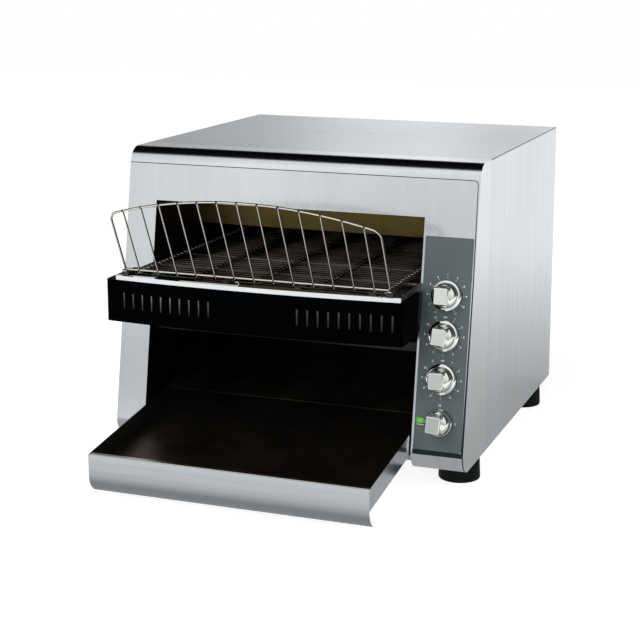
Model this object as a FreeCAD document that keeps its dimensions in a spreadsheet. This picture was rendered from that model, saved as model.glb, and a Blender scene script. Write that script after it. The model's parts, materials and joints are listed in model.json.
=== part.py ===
import FreeCAD, Part
import math
import os
import re
import Sketcher

# Conveyor toaster: a stainless counter-top cabinet with a leaning front, a feed
# conveyor that stands out of its opening, and a toast tray below.
#
# Cabinet frame, used by every formula: X to the right from the cabinet's centre
# plane, Y to the back from the foot line of the leaning face, Z up from the
# underside of the cabinet. Each finished piece is then moved so that the origin
# lies on the counter, under the middle of the whole toaster.
# Lengths are in millimetres and angles in degrees.

SIZES = [
    ("case_width", 500, "cabinet, side to side"),
    ("case_height", 398.5, "cabinet, underside to top"),
    ("case_depth", 518, "cabinet, foot line of the face to the back"),
    ("face_lean", 9.6, "angle by which the face leans back"),
    ("bend_radius", 24, "bends above and below the face"),
    ("seam_setback", 119, "foot line to the seam between fascia and casing"),
    ("fascia_lip", 45, "depth of the fascia's lower flange"),
    ("steel_gauge", 1.2, "stainless sheet"),
    ("fit_gap", 0.3, "gap between pieces that seat on each other"),
    ("cut_overrun", 5, "how far a cutting solid runs past the metal"),
    ("opening_left_margin", 43, "opening from the cabinet's left side"),
    ("opening_right_margin", 71, "opening from the cabinet's right side"),
    ("opening_height", 328, "top edge of the opening"),
    ("pan_height", 20, "upstand of the base pan"),
    ("casing_flange", 14, "flange inside the back edge of the casing's top"),
    ("wall_top", 330, "top of the toasting chamber's side walls"),
    ("wall_end_gap", 28, "side walls of the chamber from the cabinet's back"),
    ("ceiling_overhang", 6, "ceiling beyond the outside of each side wall"),
    ("ceiling_front", 72, "front edge of the ceiling"),
    ("baffle_setback", 183, "plate over the feed mouth, from the foot line"),
    ("baffle_low", 276, "lower edge of that plate"),
    ("baffle_flange", 12, "flange that hangs the plate from the ceiling"),
    ("belt_left_gap", 2.5, "belt from the opening's left edge"),
    ("belt_right_gap", 15.5, "belt from the opening's right edge"),
    ("belt_top", 245, "top of the belt"),
    ("belt_reach", 35.5, "front of the belt ahead of the foot line"),
    ("belt_end_gap", 78, "back of the belt from the cabinet's back"),
    ("belt_turn_radius", 24, "outside of the belt where it turns"),
    ("belt_gauge", 3, "thickness of the belt"),
    ("belt_pitch", 11.7, "cross wires of the belt"),
    ("belt_gap", 8.7, "open part of one pitch"),
    ("belt_strands", 3, "columns of gaps across the belt"),
    ("belt_border", 5, "solid edge and solid strand of the belt"),
    ("rail_gauge", 1.5, "side rails of the conveyor"),
    ("rail_drop", 1, "rail top below the belt top"),
    ("rail_depth", 50, "height of a rail"),
    ("rail_reach", 34, "front of a rail ahead of the foot line"),
    ("rail_end_gap", 52, "back of a rail from the cabinet's back"),
    ("left_rail_gap", 0.8, "left rail beside the belt"),
    ("right_rail_gap", 13.5, "right rail beside the belt"),
    ("shaft_radius", 6, "front and drive shafts"),
    ("running_gap", 0.05, "radial clearance of a running fit"),
    ("bush_radius", 9, "shaft bush"),
    ("bush_length", 6, "shaft bush"),
    ("bush_flange_radius", 12, "flange of a shaft bush"),
    ("bush_flange_gauge", 1.5, "flange of a shaft bush"),
    ("wheel_gap", 0.5, "belt wheel inside the belt"),
    ("wheel_width", 8, "belt wheel"),
    ("wheel_tooth_depth", 3, "belt wheel"),
    ("wheel_teeth", 12, "belt wheel"),
    ("wheels_per_shaft", 4, "belt wheels"),
    ("wheel_margin", 30, "outer belt wheels from the belt's edges"),
    ("support_radius", 3, "rods under the belt's top run"),
    ("support_count", 5, "rods under the belt's top run"),
    ("support_first", 50, "first of these rods from the foot line"),
    ("support_last_gap", 46, "last of these rods from the drive shaft"),
    ("heater_radius", 4, "heating rods"),
    ("upper_heater_count", 5, "heating rods above the belt"),
    ("lower_heater_count", 5, "heating rods inside the belt"),
    ("heater_first", 215, "first upper heating rod from the foot line"),
    ("heater_last_gap", 75, "last upper heating rod from the side walls' end"),
    ("upper_heater_height", 304, "heating rods above the belt"),
    ("lower_heater_first", 170, "first lower heating rod from the foot line"),
    ("heater_reach", 6, "end of a heating rod beyond the side walls"),
    ("cap_radius", 6.5, "ceramic cap on a heating rod's end"),
    ("cap_length", 14, "ceramic cap on a heating rod's end"),
    ("cover_left_inset", 14, "black cover from the cabinet's left side"),
    ("cover_right_lap", 1.4, "black cover beyond the opening's right edge"),
    ("cover_low", 177.5, "lower edge of the cover"),
    ("cover_high", 234.5, "upper edge of the cover"),
    ("cover_reach", 40.5, "corners of the cover ahead of the foot line"),
    ("cover_bow", 10.4, "how far the cover's middle bows out"),
    ("cover_gauge", 1.2, "cover"),
    ("cover_corner", 5, "corners of the cover"),
    ("cover_right_setback", 8, "right wing short of the face"),
    ("cover_shelf", 17, "closed top at the cover's left"),
    ("slot_count", 10, "slots in one group"),
    ("slot_pitch", 14, "slots"),
    ("slot_width", 2.8, "slots"),
    ("slot_low", 195.5, "slots"),
    ("slot_high", 217.5, "slots"),
    ("slot_beyond", 4, "last slot of a group beyond the belt's edge"),
    ("strip_height", 6, "bright strip on the cover"),
    ("strip_left_inset", 16, "strip, left end inside the cover's"),
    ("strip_right_inset", 2.4, "strip, right end inside the cover's"),
    ("strip_back", 36.5, "back of the strip ahead of the foot line"),
    ("guard_shift", 1, "middle of the wire guard right of the belt's"),
    ("guard_lean", 26, "angle by which the guard leans forward"),
    ("guard_reach", 44, "guard's lower wire ahead of the foot line"),
    ("guard_low", 251, "guard's lower wire"),
    ("guard_beyond", 0.5, "end legs of the guard beyond the belt's edges"),
    ("guard_rise", 119, "guard's middle above its lower wire"),
    ("guard_arch", 30, "how far the top wire drops to its ends"),
    ("guard_corner", 14, "upper corners of the guard"),
    ("guard_wire", 1.6, "radius of the frame wire"),
    ("guard_bar", 1.25, "radius of a bar"),
    ("guard_bars", 13, "bars between the legs"),
    ("guard_end", 20.5, "last bar from an end leg"),
    ("guard_stub", 4, "bar below the lower wire"),
    ("leg_depth", 9, "leg below the lower wire"),
    ("socket_width", 9, "sockets that hold the guard's legs"),
    ("socket_height", 6.4, "sockets that hold the guard's legs"),
    ("tray_reach", 155.8, "lower front of the toast tray ahead of the foot line"),
    ("tray_low", 0.6, "that corner above the cabinet's underside"),
    ("tray_slope", 7.2, "slope of the tray and the slide behind it"),
    ("tray_wall", 28, "height of the tray's walls"),
    ("tray_length", 288, "tray along its slope"),
    ("tray_gap", 1.5, "tray beside the opening"),
    ("apron_radius", 27.6, "curved skirt under the tray's front"),
    ("apron_sweep", 60, "angle of the skirt"),
    ("tray_bar_radius", 4, "bars that carry the tray"),
    ("tray_bar_first", 62, "bars that carry the tray, from the foot line"),
    ("tray_bar_pitch", 50, "bars that carry the tray"),
    ("slide_lap", 10, "slide's end ahead of the chute's curve"),
    ("chute_radius", 60, "curve at the foot of the rear chute"),
    ("chute_gap", 44, "rear chute from the cabinet's back"),
    ("chute_high", 322, "top of the rear chute"),
    ("crumb_low", 150, "underside of the crumb tray"),
    ("crumb_height", 12, "crumb tray"),
    ("crumb_front", 46, "crumb tray from the foot line"),
    ("crumb_back_gap", 98, "crumb tray from the cabinet's back"),
    ("runner_width", 10, "runners that carry the crumb tray"),
    ("runner_front", 60, "runners from the foot line"),
    ("runner_back_gap", 88, "runners from the cabinet's back"),
    ("panel_inset", 35.8, "control panel's middle from the cabinet's right side"),
    ("panel_width", 64.4, "control panel"),
    ("panel_low", 31.4, "control panel along the face"),
    ("panel_length", 277.5, "control panel along the face"),
    ("panel_gauge", 0.8, "control panel"),
    ("panel_gap", 0.1, "glue under the control panel"),
    ("panel_corner", 2, "control panel"),
    ("knob_inset", 35.2, "knobs from the cabinet's right side"),
    ("power_height", 68.8, "power knob along the face"),
    ("bottom_heat_height", 125, "lower heat knob along the face"),
    ("top_heat_height", 181.4, "upper heat knob along the face"),
    ("speed_height", 233.8, "speed knob along the face"),
    ("knob_radius", 20.5, "disc of a heat or speed knob"),
    ("power_knob_radius", 18.3, "disc of the power knob"),
    ("knob_disc", 4, "thickness of the disc"),
    ("knob_hub_radius", 16.5, "knob's hub"),
    ("knob_hub", 13, "top of the hub above the disc's underside"),
    ("grip_width", 19.5, "knob's grip, side to side"),
    ("grip_foot", 29, "length of the grip at the disc's underside"),
    ("grip_face", 22.5, "length of the grip at its front"),
    ("grip_height", 29, "front of the grip above the disc's underside"),
    ("grip_edge", 2, "rounded edges of the grip's front"),
    ("knob_lift", 1.5, "knob above the panel"),
    ("spindle_radius", 3, "knob's spindle"),
    ("spindle_inset", 12, "spindle inside the knob"),
    ("spindle_depth", 14, "spindle behind the face"),
    ("collar_radius", 4.6, "threaded collar of a control"),
    ("control_radius", 14, "body of a control"),
    ("control_depth", 18, "body of a control"),
    ("switch_width", 26, "body of the power switch"),
    ("lamp_inset", 60, "green lamp from the cabinet's right side"),
    ("lamp_height", 69.5, "green lamp along the face"),
    ("lamp_width", 12.5, "green lamp"),
    ("lamp_radius", 3.3, "rounded ends of the lamp"),
    ("lamp_proud", 1.4, "lamp above the panel"),
    ("lamp_stem_radius", 2.2, "lamp's stem"),
    ("lamp_stem", 9, "lamp's stem behind the panel"),
    ("chain_side_gap", 13, "drive chain beyond the opening's right edge"),
    ("sprocket_width", 4, "chain sprockets"),
    ("sprocket_radius", 18, "chain sprockets at their tips"),
    ("sprocket_tooth_depth", 3.5, "chain sprockets"),
    ("sprocket_teeth", 12, "chain sprockets"),
    ("sprocket_hub_radius", 10, "chain sprockets"),
    ("chain_gap", 0.4, "chain above the sprockets' tips"),
    ("chain_gauge", 5, "thickness of the chain"),
    ("chain_width", 6, "drive chain"),
    ("shaft_tail", 7, "drive shaft beyond the chain's plane"),
    ("motor_height", 92, "motor's output shaft"),
    ("gearbox_gap", 9, "gearbox beyond the plane of the chain"),
    ("gearbox_width", 42, "gearbox"),
    ("gearbox_length", 52, "gearbox"),
    ("gearbox_height", 54, "gearbox"),
    ("motor_radius", 20, "motor"),
    ("motor_length", 62, "motor"),
    ("boss_radius", 11, "boss round the output shaft"),
    ("boss_length", 3, "boss round the output shaft"),
    ("output_radius", 5, "motor's output shaft"),
    ("output_inset", 20, "output shaft inside the gearbox"),
    ("bracket_gauge", 2, "motor bracket"),
    ("fan_inset", 34, "fan from the cabinet's right side"),
    ("fan_height", 262, "fan"),
    ("fan_width", 60, "fan housing"),
    ("fan_depth", 25, "fan housing"),
    ("fan_bore", 28, "radius of the fan's duct"),
    ("fan_tip", 27, "radius of the fan's blades"),
    ("fan_hub", 12, "radius of the fan's hub"),
    ("fan_motor", 10, "radius of the fan's fixed motor"),
    ("fan_motor_depth", 5, "fixed motor and its arms"),
    ("fan_arm", 3, "width of the arms"),
    ("fan_blades", 7, "blades"),
    ("blade_gauge", 1.4, "blades"),
    ("blade_pitch", 50, "angle of the blades"),
    ("fan_pin", 1.5, "radius of the pin that the rotor turns on"),
    ("fan_gap", 1, "fan rotor from its housing's front and motor"),
    ("guard_ring_gap", 7, "rings of the fan guard"),
    ("guard_rings", 4, "rings of the fan guard"),
    ("fan_guard_wire", 1, "radius of the fan guard's wire"),
    ("gland_inset", 34, "cord gland from the cabinet's right side"),
    ("gland_height", 48, "cord gland"),
    ("gland_bore", 5, "radius of the way for the cord"),
    ("gland_body", 9, "radius of the gland's thread"),
    ("gland_nut", 13, "across the gland's nuts, half"),
    ("gland_reach", 14, "gland behind the back panel"),
    ("gland_nut_depth", 6, "gland's nuts"),
    ("gland_tail", 12, "gland inside the back panel"),
    ("terminal_inset", 56, "terminal block's left from the cabinet's right side"),
    ("terminal_width", 46, "terminal block"),
    ("terminal_gap", 46, "terminal block's front from the cabinet's back"),
    ("terminal_depth", 18, "terminal block"),
    ("terminal_height", 16, "terminal block"),
    ("terminal_ways", 4, "terminals"),
    ("terminal_bore", 3, "radius of a terminal's well"),
    ("vent_width", 40, "slot in the back panel"),
    ("vent_height", 4, "slot in the back panel"),
    ("vent_pitch", 12, "slots in the back panel"),
    ("vent_rows", 9, "slots in the back panel"),
    ("vent_low", 60, "lowest slot in the back panel"),
    ("vent_spread", 130, "columns of slots from the centre plane"),
    ("foot_height", 34, "feet"),
    ("foot_radius", 28.5, "feet"),
    ("foot_taper", 1.5, "smaller at the top than at the bottom"),
    ("foot_edge", 2.5, "rounded edge of a foot"),
    ("foot_inset", 30.5, "feet from the cabinet's sides"),
    ("foot_front", 98, "front feet from the foot line"),
    ("foot_back_gap", 55, "back feet from the cabinet's back"),
    ("bolt_radius", 3, "bolts that hold the feet"),
    ("bolt_head_radius", 5.6, "bolts that hold the feet"),
    ("bolt_head", 4, "bolts that hold the feet"),
    ("bolt_length", 16, "bolts in the feet"),
    ("screw_radius", 2, "screws of the back panel"),
    ("screw_head_radius", 4, "screws of the back panel"),
    ("screw_head", 2.2, "screws of the back panel"),
    ("screw_length", 8, "screws of the back panel"),
    ("screw_inset", 50, "outer screws from the cabinet's sides"),
    ("screw_rise", 10, "lower screws above the underside"),
]

PLACES = [
    ("half_width", "case_width / 2"),
    ("face_slope", "tan(face_lean)"),
    ("face_depth", "steel_gauge / cos(face_lean)"),
    ("origin_shift", "(case_depth + gland_reach - tray_reach) / 2"),
    ("face_top", "case_height * face_slope"),
    ("hollow_half", "half_width - steel_gauge"),
    ("hollow_low_front", "steel_gauge * face_slope + face_depth"),
    ("hollow_high_front", "(case_height - steel_gauge) * face_slope + face_depth"),
    ("hollow_high", "case_height - steel_gauge"),
    ("seam_beyond", "seam_setback + cut_overrun"),
    ("inner_bend", "bend_radius - steel_gauge"),
    ("opening_left", "opening_left_margin - half_width"),
    ("opening_right", "half_width - opening_right_margin"),
    ("opening_width", "opening_right - opening_left"),
    ("opening_offset", "(opening_left + opening_right) / 2"),
    ("pan_half", "half_width - steel_gauge - fit_gap"),
    ("pan_front", "fascia_lip + fit_gap"),
    ("pan_back", "case_depth - steel_gauge - fit_gap"),
    ("left_wall", "opening_left - fit_gap"),
    ("right_wall", "opening_right + fit_gap"),
    ("wall_low", "steel_gauge + fit_gap"),
    ("wall_end", "case_depth - wall_end_gap"),
    ("ceiling_low", "wall_top + fit_gap"),
    ("belt_left", "opening_left + belt_left_gap"),
    ("belt_right", "opening_right - belt_right_gap"),
    ("belt_width", "belt_right - belt_left"),
    ("conveyor_offset", "(belt_left + belt_right) / 2"),
    ("belt_end", "case_depth - belt_end_gap"),
    ("rail_end", "case_depth - rail_end_gap"),
    ("left_rail", "belt_left - left_rail_gap"),
    ("right_rail", "belt_right + right_rail_gap"),
    ("shaft_height", "belt_top - belt_turn_radius"),
    ("front_shaft_back", "belt_turn_radius - belt_reach"),
    ("drive_shaft_back", "belt_end - belt_turn_radius"),
    ("belt_hollow", "belt_turn_radius - belt_gauge"),
    ("wheel_radius", "belt_hollow - wheel_gap"),
    ("support_height", "belt_top - belt_gauge - fit_gap - support_radius"),
    ("support_run", "drive_shaft_back - support_last_gap - support_first"),
    ("support_spacing", "support_run / (support_count - 1)"),
    ("heater_run", "wall_end - heater_last_gap - heater_first"),
    ("heater_spacing", "heater_run / (upper_heater_count - 1)"),
    ("cover_left", "half_width - cover_left_inset"),
    ("cover_right", "opening_right + cover_right_lap"),
    ("cover_half", "(cover_left + cover_right) / 2"),
    ("cover_middle", "(cover_right - cover_left) / 2"),
    ("bow_radius", "cover_half ^ 2 / (2 * cover_bow) + cover_bow / 2"),
    ("bow_back", "bow_radius - cover_reach - cover_bow"),
    ("slot_inner", "belt_width / 2 + slot_beyond - (slot_count - 1) * slot_pitch"),
    ("strip_left", "cover_left - strip_left_inset"),
    ("strip_right", "cover_right - strip_right_inset"),
    ("strip_low", "cover_high + fit_gap"),
    ("strip_high", "strip_low + strip_height"),
    ("socket_low", "strip_high + fit_gap"),
    ("guard_offset", "conveyor_offset + guard_shift"),
    ("guard_half_width", "belt_width / 2 + guard_beyond"),
    ("guard_pitch", "2 * (guard_half_width - guard_end) / (guard_bars - 1)"),
    ("tray_middle", "opening_offset"),
    ("tray_half", "opening_width / 2 - tray_gap"),
    ("tray_bar_back", "tray_reach + tray_bar_first"),
    ("slide_start", "tray_length + fit_gap"),
    ("chute_back", "case_depth - chute_gap"),
    ("chute_centre_back", "chute_back - chute_radius"),
    ("slide_end_back", "chute_centre_back - slide_lap"),
    ("slide_length", "(slide_end_back + tray_reach) / cos(tray_slope) - slide_start"),
    ("slide_floor", "(fit_gap + steel_gauge) * cos(tray_slope)"),
    ("slide_end_high", "tray_low + (slide_start + slide_length) * sin(tray_slope) + slide_floor"),
    ("chute_centre_high", "slide_end_high + fit_gap + chute_radius"),
    ("crumb_back", "case_depth - crumb_back_gap"),
    ("runner_back", "case_depth - runner_back_gap"),
    ("chain_offset", "opening_right + chain_side_gap"),
    ("gearbox_left", "chain_offset + gearbox_gap"),
    ("chain_hollow", "sprocket_radius + chain_gap"),
    ("gearbox_front", "drive_shaft_back - gearbox_length / 2"),
    ("gearbox_low", "motor_height - gearbox_height / 2"),
    ("panel_offset", "half_width - panel_inset"),
    ("knob_offset", "half_width - knob_inset"),
    ("lamp_offset", "half_width - lamp_inset"),
    ("panel_front", "panel_gap + panel_gauge"),
    ("collar_reach", "panel_front + knob_lift - 2 * fit_gap"),
    ("control_back", "steel_gauge + fit_gap"),
    ("fan_offset", "half_width - fan_inset"),
    ("fan_front", "pan_back - fan_depth"),
    ("gland_offset", "half_width - gland_inset"),
    ("terminal_left", "half_width - terminal_inset"),
    ("terminal_front", "case_depth - terminal_gap"),
    ("screw_spread", "half_width - screw_inset"),
    ("foot_back", "case_depth - foot_back_gap"),
    ("foot_side", "half_width - foot_inset"),
    ("foot_top_radius", "foot_radius - foot_taper"),
    ("back_high", "hollow_high - fit_gap"),
    ("vent_inner", "vent_spread - vent_width / 2"),
    ("vent_outer", "vent_spread + vent_width / 2"),
    ("vent_high", "vent_low + vent_height"),
    ("wheel_bore", "shaft_radius + running_gap"),
    ("panel_left", "panel_offset - panel_width / 2"),
    ("panel_right", "panel_offset + panel_width / 2"),
    ("panel_high", "panel_low + panel_length"),
    ("grip_foot_half", "grip_foot / 2"),
    ("grip_face_half", "grip_face / 2"),
    ("knob_bore", "spindle_radius + running_gap"),
    ("rotor_depth", "fan_depth - fan_motor_depth - 2 * fan_gap"),
    ("rotor_bore_radius", "fan_pin + running_gap"),
    ("blade_front", "fan_gap"),
    ("blade_back", "rotor_depth - fan_gap"),
    ("blade_half", "(blade_back - blade_front) / 2 / tan(blade_pitch)"),
    ("blade_edge", "-blade_half + blade_gauge"),
    ("blade_far", "blade_half - blade_gauge"),
    ("blade_length", "sqrt(fan_tip ^ 2 - blade_half ^ 2)"),
]

CONTROLS = [
    ("power", "power_switch", "power_height", "power_knob_radius"),
    ("bottom_heat", "bottom_heat_control", "bottom_heat_height", "knob_radius"),
    ("top_heat", "top_heat_control", "top_heat_height", "knob_radius"),
    ("speed", "speed_control", "speed_height", "knob_radius"),
]
KNOB_HEIGHTS = [along for name, node, along, radius in CONTROLS]
SCREW_COLUMNS = ["-screw_spread", "-screw_spread / 3", "screw_spread / 3", "screw_spread"]
SCREW_ROWS = ["screw_rise", "hollow_high - casing_flange / 2"]
FEET = [
    ("front_left_foot", "-foot_side", "foot_front"),
    ("front_right_foot", "foot_side", "foot_front"),
    ("rear_left_foot", "-foot_side", "foot_back"),
    ("rear_right_foot", "foot_side", "foot_back"),
]
SHAFT_BACKS = ["front_shaft_back", "drive_shaft_back"]

doc = FreeCAD.newDocument("ConveyorToaster")
size_names = [row[0] for row in SIZES]
place_names = [row[0] for row in PLACES]
pieces = []
WORD = re.compile(r"[a-z][a-z_]*")
ALONG_X = FreeCAD.Rotation(FreeCAD.Vector(0, 1, 0), 90)
ALONG_Y = FreeCAD.Rotation(FreeCAD.Vector(1, 0, 0), -90)
ALONG_Z = FreeCAD.Rotation()
DIRECTIONS = {"X": ALONG_X, "Y": ALONG_Y, "Z": ALONG_Z}


def formula(words):
    """Point every size and place named in a formula at the table that holds it."""
    def with_table(match):
        word = match.group()
        if word in size_names:
            return "Sizes." + word
        if word in place_names:
            return "Places." + word
        return word
    return WORD.sub(with_table, str(words))


def fill_tables():
    """Write the driving sizes to the sheet and bind the places worked out from them."""
    sheet = doc.addObject("Spreadsheet::Sheet", "Sizes")
    for row, (name, value, note) in enumerate(SIZES, start=1):
        sheet.set("A%d" % row, note)
        sheet.set("B%d" % row, str(value))
        sheet.setAlias("B%d" % row, name)
    doc.recompute()
    places = doc.addObject("App::VarSet", "Places")
    for name, words in PLACES:
        places.addProperty("App::PropertyFloat", name)
        places.setExpression(name, formula(words))
    doc.recompute()
    return sheet, places


sizes, places = fill_tables()


def number(name):
    """The present value of a size or a place, with a minus sign in front if it has one."""
    sign = -1 if name.startswith("-") else 1
    word = name.lstrip("-")
    if word == "0":
        return 0.0
    table = sizes if word in size_names else places
    return sign * float(getattr(table, word))


def bind_base(thing, x, y, z):
    thing.setExpression("Placement.Base.x", formula(x))
    thing.setExpression("Placement.Base.y", formula(y))
    thing.setExpression("Placement.Base.z", formula(z))


def block(name, x, y, z):
    """A box between two formulas on each axis."""
    box = doc.addObject("Part::Box", name)
    for side, (low, high) in zip(("Length", "Width", "Height"), (x, y, z)):
        box.setExpression(side, formula("(%s) - (%s)" % (high, low)))
    bind_base(box, x[0], y[0], z[0])
    return box


def tilt(thing, words):
    """Turn a piece about an X axis through its own base, by an angle given as a formula."""
    base = thing.Placement.Base
    thing.Placement = FreeCAD.Placement(base, FreeCAD.Rotation(FreeCAD.Vector(1, 0, 0), 1))
    thing.setExpression("Placement.Rotation.Angle", formula(words))
    return thing


def rod(name, start, along, radius, length):
    """A round rod from its start, along X, Y or Z."""
    cylinder = doc.addObject("Part::Cylinder", name)
    cylinder.setExpression("Radius", formula(radius))
    cylinder.setExpression("Height", formula(length))
    cylinder.Placement = FreeCAD.Placement(FreeCAD.Vector(), DIRECTIONS[along])
    bind_base(cylinder, *start)
    return cylinder


def fuse(name, members):
    union = doc.addObject("Part::MultiFuse", name)
    union.Shapes = members
    return union


def group(name, members):
    compound = doc.addObject("Part::Compound", name)
    compound.Links = members
    return compound


def cut(name, base, tools):
    """The base without the tools; tools that overlap are joined first."""
    removal = doc.addObject("Part::Cut", name)
    removal.Base = base
    removal.Tool = tools[0] if len(tools) == 1 else fuse(name + "_tools", tools)
    return removal


def common(name, first, second):
    overlap = doc.addObject("Part::Common", name)
    overlap.Base = first
    overlap.Tool = second
    return overlap


def seat(piece, node, x="0", back="0", up="0", lean=None):
    """Give a finished piece its name and its place above the counter."""
    if lean:
        tilt(piece, lean)
    bind_base(piece, x, "(%s) - origin_shift" % back, "(%s) + foot_height" % up)
    piece.Label = node
    pieces.append(piece)
    return piece


def seat_on_face(piece, node, x="0", along="0", proud="0"):
    """Seat a piece modelled on an upright face, so far up along it and so far proud of it."""
    back = "(%s) * sin(face_lean) - (%s) * cos(face_lean)" % (along, proud)
    up = "(%s) * cos(face_lean) + (%s) * sin(face_lean)" % (along, proud)
    return seat(piece, node, x, back, up, lean="-face_lean")


def seat_on_tray(piece, node):
    """Seat a piece modelled on a level tray whose lower front corner is the origin."""
    return seat(piece, node, "0", "-tray_reach", "tray_low", lean="tray_slope")


def plane(body, role):
    return [item for item in body.Origin.OriginFeatures if item.Role == role][0]


def sketch(body, name, role):
    drawing = body.newObject("Sketcher::SketchObject", name)
    drawing.AttachmentSupport = [(plane(body, role), "")]
    drawing.MapMode = "FlatFace"
    return drawing


def outline(drawing, points):
    """Close a polygon through points given by the names of sizes and places."""
    corners = [FreeCAD.Vector(number(across), number(up), 0) for across, up in points]
    count = len(corners)
    for index, corner in enumerate(corners):
        drawing.addGeometry(Part.LineSegment(corner, corners[(index + 1) % count]))
    for index in range(count):
        drawing.addConstraint(Sketcher.Constraint("Coincident", index, 2, (index + 1) % count, 1))
    for index, (across, up) in enumerate(points):
        corner = corners[index]
        for kind, words, reach in (("DistanceX", across, corner.x), ("DistanceY", up, corner.y)):
            held = drawing.addConstraint(Sketcher.Constraint(kind, -1, 1, index, 1, reach))
            drawing.setExpression("Constraints[%d]" % held, formula(words))


def circle(drawing, radius, across="0", up="0"):
    """A circle whose centre and radius are named sizes or places."""
    centre = FreeCAD.Vector(number(across), number(up), 0)
    index = drawing.addGeometry(Part.Circle(centre, FreeCAD.Vector(0, 0, 1), number(radius)))
    held = drawing.addConstraint(Sketcher.Constraint("Radius", index, number(radius)))
    drawing.setExpression("Constraints[%d]" % held, formula(radius))
    for kind, words, reach in (("DistanceX", across, centre.x), ("DistanceY", up, centre.y)):
        held = drawing.addConstraint(Sketcher.Constraint(kind, -1, 1, index, 3, reach))
        drawing.setExpression("Constraints[%d]" % held, formula(words))


def new_body(name):
    body = doc.addObject("PartDesign::Body", name)
    doc.recompute()
    return body


def pad(body, drawing, length, both_ways=False, backwards=False):
    feature = body.newObject("PartDesign::Pad", drawing.Name + "_pad")
    feature.Profile = drawing
    feature.Midplane = both_ways
    feature.Reversed = backwards
    feature.setExpression("Length", formula(length))
    doc.recompute()
    return feature


def pocket(body, drawing, length, both_ways=False, backwards=False):
    before = body.Shape.Volume
    feature = body.newObject("PartDesign::Pocket", drawing.Name + "_pocket")
    feature.Profile = drawing
    feature.Midplane = both_ways
    feature.Reversed = backwards
    feature.setExpression("Length", formula(length))
    doc.recompute()
    if not body.Shape.Volume < before:
        raise ValueError("%s cuts nothing" % feature.Name)
    return feature


def edges_where(shape, test):
    """Names of the edges for which a test of their middle and direction holds."""
    names = []
    for index, edge in enumerate(shape.Edges, start=1):
        middle = edge.valueAt((edge.FirstParameter + edge.LastParameter) / 2)
        ends = [vertex.Point for vertex in edge.Vertexes]
        along = ends[-1] - ends[0] if len(ends) > 1 else FreeCAD.Vector()
        if test(middle, along):
            names.append("Edge%d" % index)
    return names


def near(first, second):
    return abs(first - second) < number("fit_gap") / 2


def fillet(body, base, edge_names, radius):
    feature = body.newObject("PartDesign::Fillet", base.Name + "_fillet")
    feature.Base = (base, edge_names)
    feature.setExpression("Radius", formula(radius))
    doc.recompute()
    return feature


def pattern_line(body, features, drawing, axis, length, count):
    """Repeat features of a body along an axis of their sketch."""
    repeat = body.newObject("PartDesign::LinearPattern", features[0].Name + "_row")
    repeat.Originals = features
    repeat.Direction = (drawing, [axis])
    repeat.setExpression("Length", formula(length))
    repeat.setExpression("Occurrences", formula(count))
    body.Tip = repeat
    doc.recompute()
    return repeat


def pattern_round(body, features, drawing, count):
    """Repeat features of a body about the normal of their sketch."""
    repeat = body.newObject("PartDesign::PolarPattern", features[0].Name + "_circle")
    repeat.Originals = features
    repeat.Axis = (drawing, ["N_Axis"])
    repeat.setExpression("Occurrences", formula(count))
    body.Tip = repeat
    doc.recompute()
    return repeat


def behind_face(name, setback, x=("-case_width", "case_width")):
    """Everything behind the face plane, moved back along its normal by a setback."""
    solid = block(name, x, (setback, "2 * case_depth"), ("-case_height", "2 * case_height"))
    bind_base(solid, x[0], "(%s) / cos(face_lean) - case_height * face_slope" % setback, "-case_height")
    return tilt(solid, "-face_lean")


def leaning_body(name, points, width, radius):
    """A solid with the cabinet's side profile, rounded above and below the face."""
    body = new_body(name)
    profile = sketch(body, name + "_profile", "YZ_Plane")
    outline(profile, points)
    solid = pad(body, profile, width, both_ways=True)
    low, high = points[0], points[-1]
    bends = edges_where(solid.Shape, lambda middle, along: abs(along.x) > number("half_width") and (
        near(middle.y, number(low[0])) and near(middle.z, number(low[1]))
        or near(middle.y, number(high[0])) and near(middle.z, number(high[1]))))
    fillet(body, solid, bends, radius)
    return body


def front_fascia():
    """The folded front: leaning face, bends above and below, and side returns to the seam."""
    outer_profile = [("0", "0"), ("seam_setback", "0"), ("seam_setback", "case_height"),
                     ("face_top", "case_height")]
    inner_profile = [("hollow_low_front", "steel_gauge"), ("seam_beyond", "steel_gauge"),
                     ("seam_beyond", "hollow_high"), ("hollow_high_front", "hollow_high")]
    outside = leaning_body("FasciaSheet", outer_profile, "case_width", "bend_radius")
    inside = leaning_body("FasciaHollow", inner_profile, "2 * hollow_half", "inner_bend")
    mouth = block("FasciaMouth", ("opening_left", "opening_right"), ("-case_depth", "case_depth"),
                  ("-cut_overrun", "opening_height"))
    underside = block("FasciaUnderside", ("-hollow_half", "hollow_half"),
                      ("fascia_lip", "seam_beyond"), ("-cut_overrun", "steel_gauge"))
    holes = [face_hole("FasciaHole%d" % index, "knob_offset", along, "collar_radius + fit_gap")
             for index, along in enumerate(KNOB_HEIGHTS)]
    holes.append(face_hole("FasciaLampHole", "lamp_offset", "lamp_height", "lamp_stem_radius + fit_gap"))
    shell = cut("FasciaShell", outside, [inside])
    return seat(cut("FrontFascia", shell, [mouth, underside] + holes), "front_fascia")


def face_hole(name, across, along, radius):
    """A round hole square to the leaning face, for a cut in the cabinet frame."""
    drill = rod(name, ("0", "0", "0"), "Y", radius, "4 * cut_overrun")
    drill.Placement = FreeCAD.Placement(FreeCAD.Vector(), FreeCAD.Rotation(FreeCAD.Vector(-1, 0, 0), 1))
    drill.setExpression("Placement.Rotation.Angle", formula("90 + face_lean"))
    bind_base(drill, across, "(%s) * sin(face_lean) - 2 * cut_overrun * cos(face_lean)" % along,
              "(%s) * cos(face_lean) + 2 * cut_overrun * sin(face_lean)" % along)
    return drill


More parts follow.
